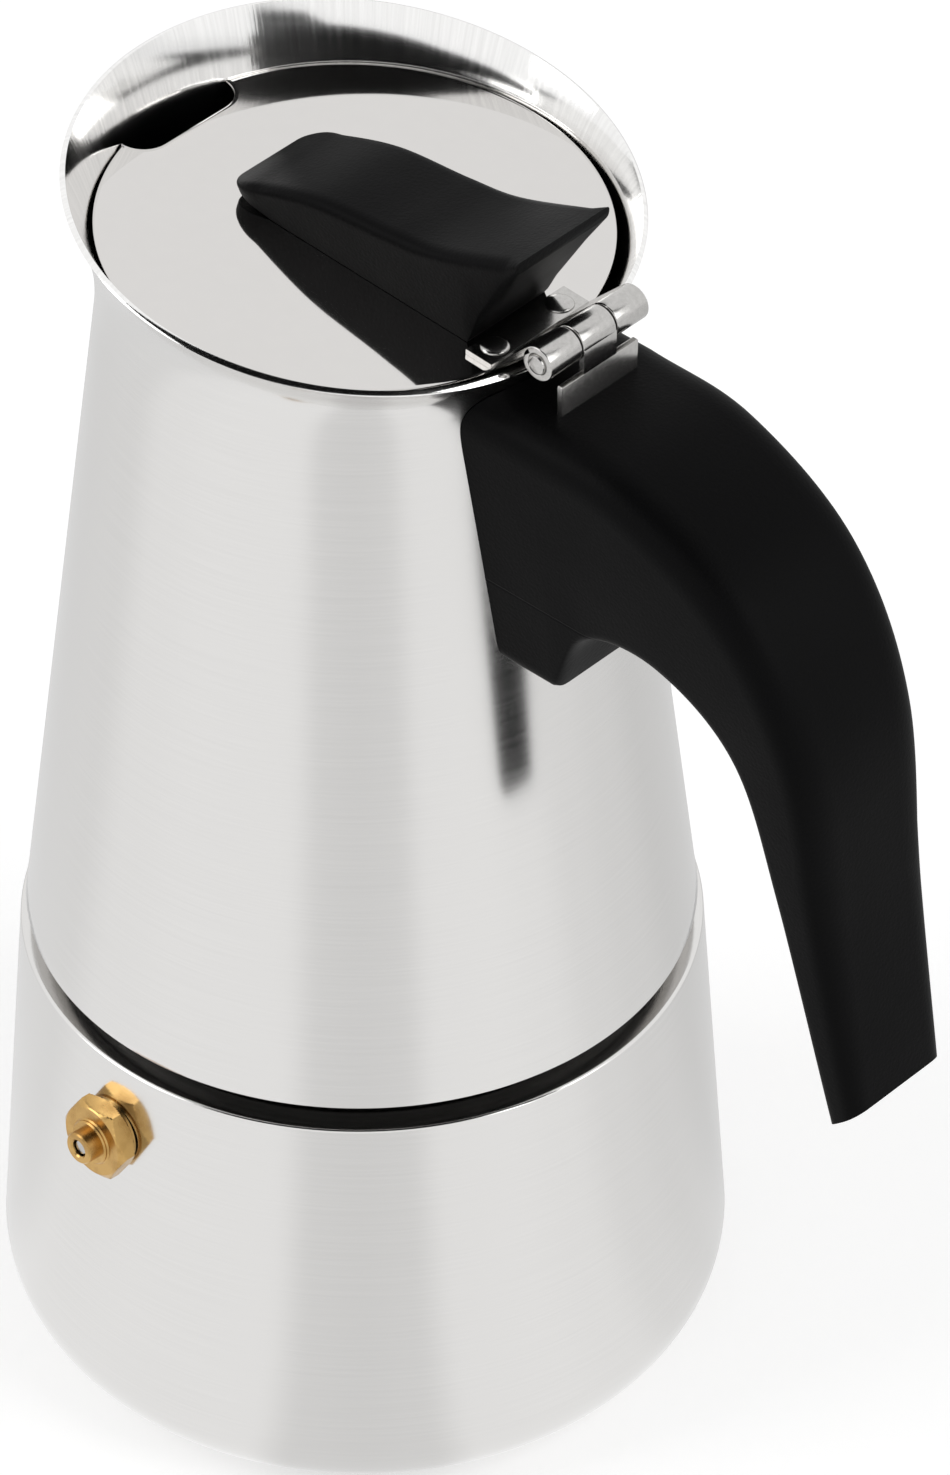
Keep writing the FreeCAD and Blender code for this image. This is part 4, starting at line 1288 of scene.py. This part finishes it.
@dataclass
class Lid:
    """Flat polished lid with its notch, moulded knob and hinge."""

    radius: float = 33.3
    height: float = 178.9
    tilt: float = 3.0
    thick: float = 0.8
    notch_half_w: float = 9.5
    notch_depth: float = 5.0
    notch_corner: float = 4.0
    edge: float = 0.18
    edge_bevel: float = 0.3
    flat_band: float = 0.3
    edge_rows: int = 180
    corner_rows: int = 10
    hinge_x: float = 39.7
    hinge_z: float = 182.9
    hinge_length: float = 18.0
    middle: float = 6.0
    gap: float = 0.25
    knuckle_r: float = 2.45
    knuckle_edge: float = 0.22
    knuckle_around: int = 64
    pin_r: float = 1.4
    pin_play: float = 0.05
    pin_proud: float = 0.4
    pin_round: float = 0.35
    pin_bevel: Point = (0.1, 0.12)
    pin_around: int = 48
    leaf_t: float = 0.8
    leaf_start: float = 27.6
    leaf_bend: float = 32.0
    leaf_lift: float = 0.01
    leaf_edge: float = 0.12
    strip_edge: float = 0.15
    strip_steps: int = 3
    strip_end: float = 0.985
    body_leaf_w: float = 14.0
    body_leaf_drop: float = 3.6
    body_leaf_end: float = 158.0
    body_leaf_lap: float = 0.2
    rivet_r: float = 1.2
    rivet_head: float = 1.9
    rivet_dome: float = 0.6
    screw_r: float = 1.5
    screw_head: float = 2.8
    screw_dome: float = 1.5
    screw_grip: float = 6.0
    screw_pitch: float = 18.0

    def place(self) -> Matrix:
        """Frame of the tilted lid."""
        return Matrix.Translation(UP * self.height) @ Matrix.Rotation(math.radians(self.tilt), 4, "Y")

    def axis(self) -> Vector:
        """Middle of the hinge pin."""
        return Vector((self.hinge_x, 0, self.hinge_z))

    def pin_place(self) -> Matrix:
        """Frame whose Z axis runs along the hinge pin."""
        return Matrix.Translation(self.axis()) @ Matrix.Rotation(math.radians(-90), 4, "X")

    def outline(self, inset: float) -> list[Point]:
        """Edge of the lid with its pouring notch, drawn in by a little.

        Args:
            inset: Distance inside the true edge.

        Returns:
            Points of the edge.
        """
        radius = self.radius - inset
        half, corner = self.notch_half_w + inset, self.notch_corner
        deep = -self.radius + self.notch_depth + inset
        opening = math.degrees(math.asin(half / radius))
        line = arc((0, 0), radius, -180 + opening, 180 - opening, self.edge_rows)
        line += arc((deep - corner, half - corner), corner, 90, 0, self.corner_rows)
        return line + arc((deep - corner, corner - half), corner, 0, -90, self.corner_rows)

    def build_plate(self) -> None:
        """Makes the polished plate."""
        plate = MeshKit("lid_disc", Body.LID, Slot.POLISHED, [LID_STEEL], ["lid_plate"])
        place, edge = self.place(), self.edge
        flat, soft = edge + self.flat_band, self.edge_bevel * edge
        lower = [(flat, 0.0), (edge, 0.0), (soft, soft), (0.0, edge)]
        levels = lower + [(inset, self.thick - z) for inset, z in reversed(lower)]
        plate.loft([[place @ Vector((x, y, z)) for x, y in self.outline(inset)] for inset, z in levels])
        plate.finish()

    def roll(self, kit: MeshKit, start: float, end: float) -> None:
        """One rolled knuckle with softened ends, between two places along Y."""
        radii = (self.pin_r + self.pin_play, self.knuckle_r)
        kit.ring(radii, (start, end), self.knuckle_edge, place=self.pin_place(), around=self.knuckle_around)

    def strip(self, kit: MeshKit, corners: Sequence[Point], edge: float, low: float, high: float) -> None:
        """A bent strip of sheet.

        Args:
            kit: Mesh that it is added to.
            corners: Corners of its side in X and Z.
            edge: Setback of their edges.
            low: Where it begins along Y.
            high: Where it ends along Y.
        """
        side = [Vector(p) for p in soften(corners, edge, self.strip_steps)]
        middle = sum(side, Vector((0, 0))) / len(side)
        rows = [(low, self.strip_end), (low + self.strip_edge, 1.0)]
        rows += [(high - self.strip_edge, 1.0), (high, self.strip_end)]
        loops: Grid = []
        for y, share in rows:
            spots = [middle + (p - middle) * share for p in side]
            loops.append([Vector((p.x, y, p.y)) for p in spots])
        kit.loft(loops)

    def build_lid_leaf(self) -> None:
        """Makes the leaf on the lid with its two knuckles."""
        half, inner = self.hinge_length / 2, self.middle / 2 + self.gap
        place, axis, leaf_t = self.place(), self.axis(), self.leaf_t
        level, ends = self.thick + self.leaf_lift, (self.leaf_start, self.leaf_bend)
        start, bend = (place @ Vector((x, 0, level)) for x in ends)
        reach, hold = axis - bend, self.knuckle_r - leaf_t
        ramp = math.atan2(reach.z, reach.x) + math.asin(hold / reach.length)
        lift = Vector((-math.sin(ramp), 0, math.cos(ramp)))
        touch = axis + lift * hold
        rise = (place.to_3x3() @ UP) * leaf_t
        ramp_side = [(p.x, p.z) for p in (bend, touch, touch + lift * leaf_t, bend + rise)]
        foot_side = [(p.x, p.z) for p in (start, bend, bend + rise, start + rise)]
        leaf = MeshKit("lid_leaf", Body.LID, Slot.HINGE, [HINGE_STEEL], ["lid_hinge_leaf"])
        for low, high in ((-half, -inner), (inner, half)):
            self.roll(leaf, low, high)
            self.strip(leaf, ramp_side, self.leaf_edge, low, high)
        self.strip(leaf, foot_side, self.leaf_edge, -half, half)
        leaf.finish()

    def build_body_leaf(self) -> None:
        """Makes the leaf on the chamber with its middle knuckle."""
        leaf = MeshKit("body_leaf", Body.UPPER, Slot.HINGE, [HINGE_STEEL], ["body_hinge_leaf"])
        self.roll(leaf, -self.middle / 2, self.middle / 2)
        outer = self.hinge_x + self.knuckle_r
        inner, flare_z = outer - self.leaf_t, self.hinge_z - self.body_leaf_drop
        for low, high, width in ((flare_z - self.body_leaf_lap, self.hinge_z, self.middle),
                                 (self.body_leaf_end, flare_z, self.body_leaf_w)):
            corners = [(inner, low), (outer, low), (outer, high), (inner, high)]
            self.strip(leaf, corners, self.strip_edge, -width / 2, width / 2)
        leaf.finish()

    def build_pin(self) -> None:
        """Makes the hinge pin with its rounded ends."""
        end = -self.hinge_length / 2 - self.pin_proud
        inset, rise = self.pin_bevel
        head = [(0.0, end), (self.pin_r - self.pin_round, end), (self.pin_r - inset, end + rise),
                (self.pin_r, end + self.pin_round)]
        pin = MeshKit("hinge_rod", Body.LID, Slot.HINGE, [HINGE_STEEL], ["hinge_pin"])
        pin.lathe(head + [(r, -z) for r, z in reversed(head)], self.pin_place(), self.pin_around)
        pin.finish()

    def build_studs(self) -> None:
        """Sets the leaf's rivets and the knob's screws."""
        place, top = self.place(), self.thick + self.leaf_t
        x, y = (self.leaf_start + self.leaf_bend) / 2, (self.middle + self.hinge_length) / 4
        rivets = stud_tree(self.rivet_r, top, self.rivet_head, self.rivet_dome, HINGE_STEEL)
        piece = rivets.grow("leaf_rivets", [Vector((x, -y, top)), Vector((x, y, top))], place)
        hand_over(piece, Body.LID, ["lid_rivets"])
        screws = stud_tree(self.screw_r, self.screw_grip, self.screw_head, self.screw_dome, HINGE_STEEL)
        turned = place @ Matrix.Rotation(math.pi, 4, "X")
        piece = screws.grow("knob_bolts", [Vector((0, 0, 0)), Vector((self.screw_pitch, 0, 0))], turned)
        hand_over(piece, Body.LID, ["knob_screws"])

    def build(self) -> None:
        """Makes the lid, its knob and its hinge."""
        self.build_plate()
        Knob().build(self.place(), self.thick)
        self.build_lid_leaf()
        self.build_body_leaf()
        self.build_pin()
        self.build_studs()


@dataclass
class Knob:
    """Moulded wedge with a saddle top; places along the lid from the rear of its foot, heights above it."""

    foot_rear: float = 26.3
    foot_l: float = 34.2
    nose: Point = (-41.3, 2.4)
    cheek: Point = (-36.8, 4.6)
    crown: Point = (-26.3, 8.5)
    waist: Point = (-14.3, 10.3)
    saddle: Point = (-5.3, 12.2)
    tail: Point = (8.5, 18.0)
    nose_t: float = 1.2
    tail_t: float = 1.8
    least_t: float = 0.4
    foot_half_w: float = 7.2
    top_half_w: float = 8.6
    nose_half_w: float = 5.4
    crease: float = 2.2
    foot_edge: float = 0.15
    rear_corner: float = 2.2
    rear_run: float = 2.0
    corner_steps: int = 7
    top_steps: int = 24
    stations: int = 96

    def underside(self, x: float) -> float:
        """Height of the underside.

        Args:
            x: Place along the knob.

        Returns:
            The height above the lid.
        """
        if x < -self.foot_l:
            return (self.nose[1] - self.nose_t) * (x + self.foot_l) / (self.nose[0] + self.foot_l)
        return max(0.0, (self.tail[1] - self.tail_t) * x / self.tail[0])

    def half_width(self, x: float) -> float:
        """Half of the top's width at a place along the knob, rounded in at the nose."""
        ease = min(1.0, (x - self.nose[0]) / (self.cheek[0] - self.nose[0]))
        return self.nose_half_w + (self.top_half_w - self.nose_half_w) * math.sqrt(1.0 - (1.0 - ease) ** 2)

    def section(self, x: float, high: float) -> list[Vector]:
        """Rounded section of the knob.

        Args:
            x: Place along the knob.
            high: Height of its top there.

        Returns:
            A closed loop of points.
        """
        low = min(self.underside(x), high - self.least_t)
        high_w = self.half_width(x)
        foot_w = self.foot_half_w * high_w / self.top_half_w
        low_w = foot_w + (high_w - foot_w) * low / high
        under = self.rear_corner * min(1.0, max(0.0, x / self.rear_run)) + self.foot_edge
        corners = [(-low_w, low), (low_w, low), (high_w, high), (-high_w, high)]
        loop = soften(corners, [under, under, self.crease, self.crease], self.corner_steps)
        return [Vector((self.foot_rear + x, y, z)) for y, z in loop]

    def build(self, place: Matrix, foot: float) -> None:
        """Makes the knob.

        Args:
            place: Frame of the lid.
            foot: Height of the lid's upper face in that frame.
        """
        kit = MeshKit("lid_grip", Body.LID, Slot.PLASTIC, [GRIP_PLASTIC], ["lid_knob"])
        places = [self.nose, self.cheek, self.crown, self.waist, self.saddle, self.tail]
        top = glide(places, self.top_steps)
        loops: Grid = []
        for number in range(self.stations):
            share = 0.5 - 0.5 * math.cos(math.pi * number / (self.stations - 1))
            x = self.nose[0] + (self.tail[0] - self.nose[0]) * share
            loops.append([place @ (p + UP * foot) for p in self.section(x, height_at(top, x))])
        kit.loft(loops)
        kit.finish()


# Handle

@dataclass
class Handle:
    """Moulded handle, deep at its root and open at the bottom."""

    chamber: UpperChamber
    top_z: float = 175.0
    root_z: float = 134.5
    root_reach: float = 45.0
    root_half_w: float = 13.5
    tip_half_w: float = 8.5
    neck_x: float = 39.7
    shoulder: Point = (57.0, 173.6)
    elbow: Point = (75.0, 163.8)
    back: Point = (86.0, 145.0)
    grip: Point = (90.4, 117.0)
    tip_out: Point = (95.0, 91.0)
    tip_in: Point = (90.0, 86.5)
    grip_in: Point = (81.5, 120.0)
    elbow_in: Point = (74.6, 139.5)
    arch: Point = (62.0, 147.5)
    arch_foot: Point = (50.0, 145.5)
    outer_r: float = 5.5
    inner_r: float = 2.6
    body_gap: float = 0.1
    corner_steps: int = 9
    line_steps: int = 16
    stations: int = 90

    def half_width(self, z: float) -> float:
        """Half of the handle's width at a height."""
        share = (z - self.tip_in[1]) / (self.top_z - self.tip_in[1])
        return self.tip_half_w + (self.root_half_w - self.tip_half_w) * share

    def lines(self) -> tuple[list[Point], list[Point]]:
        """Outer and inner line of the side view, both from the chamber to the tip.

        Returns:
            Points of the outer line and of the inner line.
        """
        outer = [(self.neck_x, self.top_z), self.shoulder, self.elbow, self.back, self.grip, self.tip_out]
        root = (self.root_reach, self.root_z)
        inner = [root, self.arch_foot, self.arch, self.elbow_in, self.grip_in, self.tip_in]
        top, foot = ((self.chamber.wall_x(0.0, z), z) for z in (self.top_z, self.root_z))
        return [top] + glide(outer, self.line_steps), [foot] + glide(inner, self.line_steps)

    def on_wall(self, loop: list[Vector]) -> list[Vector]:
        """A loop laid just off the chamber's wall."""
        return [Vector((self.chamber.wall_x(p.y, p.z) + self.body_gap, p.y, p.z)) for p in loop]

    def section(self, out: Point, into: Point) -> list[Vector]:
        """Rounded section between a point of the outer line and one of the inner line.

        Args:
            out: Point of the outer line.
            into: Point of the inner line.

        Returns:
            A closed loop of points.
        """
        high, low = Vector((out[0], 0, out[1])), Vector((into[0], 0, into[1]))
        across, depth = (high - low).normalized(), (high - low).length
        high_w, low_w = self.half_width(out[1]), self.half_width(into[1])
        corners = [(-low_w, 0.0), (low_w, 0.0), (high_w, depth), (-high_w, depth)]
        radii = [self.inner_r, self.inner_r, self.outer_r, self.outer_r]
        outline = soften(corners, radii, self.corner_steps)
        return [low + across * z + Vector((0, y, 0)) for y, z in outline]

    def build(self) -> None:
        """Makes the handle and dresses the pieces that hold it."""
        outer, inner = self.lines()
        shares = spread(0.0, 1.0, self.stations)
        loops = [self.section(at_share(outer, share), at_share(inner, share)) for share in shares]
        loops[0] = self.on_wall(loops[0])
        kit = MeshKit("handle_grip", Body.UPPER, Slot.PLASTIC, [HANDLE_PLASTIC], ["handle"])
        kit.loft(loops)
        kit.finish()
        dress_nodes(HINGE_STEEL, "handle_bracket", "handle_screw")


# Studio

@dataclass(frozen=True)
class Screen:
    """A flat lamp or card that faces the pot.

    Attributes:
        name: Its name.
        turn: Azimuth in degrees.
        rise: Elevation in degrees.
        away: Distance in metres.
        size: Width and height in metres.
        glow: Power of a lamp in watts, or grey of a card.
    """

    name: str
    turn: float
    rise: float
    away: float
    size: Point
    glow: float


def view_axes(turn: float, rise: float) -> tuple[Vector, Vector, Vector]:
    """Axes of something that looks at the pot.

    Args:
        turn: Its azimuth in degrees; from 0 the view goes along +Y.
        rise: Its elevation in degrees.

    Returns:
        Right, up and backward.
    """
    a, e = math.radians(turn), math.radians(rise)
    back = Vector((math.sin(a) * math.cos(e), -math.cos(a) * math.cos(e), math.sin(e)))
    right = Vector((math.cos(a), math.sin(a), 0))
    return right, back.cross(right), back


def blank_material(name: str) -> tuple[bpy.types.Material, NodeBench]:
    """A material without nodes.

    Args:
        name: Its name.

    Returns:
        The material and its node bench.
    """
    material = bpy.data.materials.new(name)
    material.use_nodes = True
    material.node_tree.nodes.clear()
    return material, NodeBench(material.node_tree)


def flat_mesh(name: str, corners: Sequence[Sequence[float]]) -> bpy.types.Mesh:
    """A mesh of one flat face.

    Args:
        name: Its name.
        corners: Corners of the face in metres.

    Returns:
        The mesh.
    """
    mesh = bpy.data.meshes.new(name)
    mesh.from_pydata(corners, [], [tuple(range(len(corners)))])
    return mesh


@dataclass
class Studio:
    """Pale floor, soft light, cards for the metal to reflect and the camera.

    Attributes:
        floor_greys: Greys of the card round the pot, by angle in degrees from the camera.
    """

    azimuth: float = 43.0
    elevation: float = 39.81
    distance: float = 1150.0
    aim_z: float = 95.0
    aim_pixel: Point = (360.4, 736.5)
    picture: Point = (950.0, 1475.0)
    focal_pixels: float = 8641.0
    sensor: float = 36.0
    disc_sides: int = 64
    floor_r: float = 6.0
    floor_z: float = -0.0002
    floor_glow: float = 0.31
    floor_clouds: float = 3.0
    floor_dark: Colour = (0.83, 0.83, 0.83)
    floor_pale: Colour = (0.86, 0.86, 0.86)
    floor_card_r: float = 2.5
    floor_card_z: float = -0.0001
    floor_greys: tuple[Point, ...] = (
        (-180.0, 0.72), (-146.0, 0.78), (-102.0, 0.86), (-82.0, 0.97), (-55.0, 1.0), (-22.0, 1.0),
        (-12.0, 0.83), (0.0, 0.81), (12.0, 0.83), (22.0, 0.99), (40.0, 1.0), (57.0, 0.97), (73.0, 0.88),
        (91.0, 0.82), (113.0, 0.73), (145.0, 0.72), (180.0, 0.72))
    world_light: float = 0.62
    lamps: tuple[Screen, ...] = (Screen("key_light", 105.0, 38.0, 1.7, (0.9, 1.2), 8.0),
                                 Screen("fill_light", -35.0, 35.0, 1.7, (0.9, 1.2), 7.0))
    dark_card: Screen = Screen("dark_card_top", 43.0, 70.0, 1.5, (3.4, 1.3), 0.006)

    def build_camera(self) -> None:
        """Sets the camera at the photograph's angle."""
        right, up, back = view_axes(self.azimuth, self.elevation)
        scale = self.distance / self.focal_pixels
        across = (self.aim_pixel[0] - self.picture[0] / 2) * scale
        above = (self.picture[1] / 2 - self.aim_pixel[1]) * scale
        place = UP * self.aim_z + back * self.distance - right * across - up * above
        lens = bpy.data.cameras.new("camera")
        lens.sensor_width = self.sensor
        lens.lens = self.focal_pixels * self.sensor / self.picture[1]
        camera = new_object("camera", lens)
        camera.matrix_world = axes_at(right, up, back, place * MM)
        bpy.context.scene.camera = camera

    def facing(self, screen: Screen) -> Matrix:
        """Frame of a screen that looks at the middle of the pot."""
        right, up, back = view_axes(screen.turn, screen.rise)
        return axes_at(right, up, back, back * screen.away + UP * (self.aim_z * MM))

    def disc(self, name: str, radius: float, z: float) -> bpy.types.Mesh:
        """A flat round mesh about the axis, in metres."""
        return flat_mesh(name, [polar(radius, turn, z) for turn in turns_of(self.disc_sides)])

    def put(self, mesh: bpy.types.Mesh, material: bpy.types.Material, seen: bool) -> None:
        """Adds a piece of the stage.

        Args:
            mesh: Its mesh, whose name it takes.
            material: Its material.
            seen: Whether the camera sees it; if not, only reflections show it.
        """
        mesh.materials.append(material)
        piece = new_object(mesh.name, mesh)
        piece.visible_camera = piece.visible_diffuse = piece.visible_shadow = seen

    def build_floor(self) -> None:
        """Lays the pale floor."""
        material, bench = blank_material("pale_floor")
        clouds = bench.noise(bench.place(), self.floor_clouds)
        tone = bench.tint(clouds, self.floor_dark, self.floor_pale)
        matte = bench.add("ShaderNodeBsdfDiffuse", {"Color": tone})
        glow = bench.add("ShaderNodeEmission", {"Strength": self.floor_glow})
        bench.surface(bench.add("ShaderNodeAddShader", {0: matte.outputs[0], 1: glow.outputs[0]}))
        self.put(self.disc("floor", self.floor_r, self.floor_z), material, True)

    def build_world(self) -> None:
        """Surrounds the pot with white, a little dimmer as a light than as a background."""
        world = bpy.data.worlds.new("white_room")
        bpy.context.scene.world = world
        world.use_nodes = True
        bench = NodeBench(world.node_tree)
        path = bench.add("ShaderNodeLightPath").outputs
        mirrored = bench.math("MAXIMUM", path["Is Glossy Ray"], path["Is Transmission Ray"])
        seen = bench.math("MAXIMUM", path["Is Camera Ray"], mirrored)
        sky = next(n for n in world.node_tree.nodes if n.type == "BACKGROUND")
        strength = bench.span(seen, UNIT, (self.world_light, 1.0))
        bench.feed(sky, {"Color": (1, 1, 1, 1), "Strength": strength})

    def build_lamps(self) -> None:
        """Hangs the soft boxes."""
        for lamp in self.lamps:
            light = bpy.data.lights.new(lamp.name, "AREA")
            light.shape = "RECTANGLE"
            light.size, light.size_y = lamp.size
            light.energy = lamp.glow
            new_object(lamp.name, light).matrix_world = self.facing(lamp)

    def build_dark_card(self) -> None:
        """Hangs the dark card that the mouth of the pot reflects."""
        card = self.dark_card
        material, bench = blank_material(card.name)
        bench.surface(bench.add("ShaderNodeEmission", {"Color": (card.glow, card.glow, card.glow, 1)}))
        w, h = card.size[0] / 2, card.size[1] / 2
        mesh = flat_mesh(card.name, [(-w, -h, 0), (w, -h, 0), (w, h, 0), (-w, h, 0)])
        mesh.transform(self.facing(card))
        self.put(mesh, material, False)

    def build_floor_card(self) -> None:
        """Lays a card on the floor whose grey changes round the pot."""
        material, bench = blank_material("floor_card")
        x, y, _ = bench.apart(bench.place())
        angle = bench.math("SUBTRACT", bench.math("ARCTAN2", y, x), math.radians(self.azimuth - 90.0))
        wrapped = bench.math("WRAP", angle, math.pi, -math.pi)
        shade = bench.add("ShaderNodeValToRGB", {0: bench.span(wrapped, (-math.pi, math.pi), UNIT)})
        shade.color_ramp.interpolation = "EASE"
        stops = shade.color_ramp.elements
        while len(stops) < len(self.floor_greys):
            stops.new(1.0)
        for stop, (degrees, grey) in zip(stops, self.floor_greys):
            stop.position = (degrees + 180.0) / 360.0
            stop.color = (grey, grey, grey, 1.0)
        bench.surface(bench.add("ShaderNodeEmission", {"Color": shade.outputs[0]}))
        self.put(self.disc("floor_card", self.floor_card_r, self.floor_card_z), material, False)

    def build(self) -> None:
        """Sets up camera, floor, light and cards."""
        bpy.context.scene.view_settings.view_transform = "Standard"
        self.build_camera()
        self.build_floor()
        self.build_world()
        self.build_lamps()
        self.build_dark_card()
        self.build_floor_card()


def main() -> None:
    """Builds the pot and its studio, piece by piece."""
    logging.basicConfig(level=logging.INFO, format="%(name)s: %(message)s")
    boiler, chamber = Boiler(), UpperChamber()
    assemblies = [boiler, SafetyValve(boiler), CoffeeStack(), chamber, Lid(), Handle(chamber), Studio()]
    for assembly in assemblies:
        LOG.info("building %s", type(assembly).__name__)
        assembly.build()


if __name__ == "__main__":
    main()
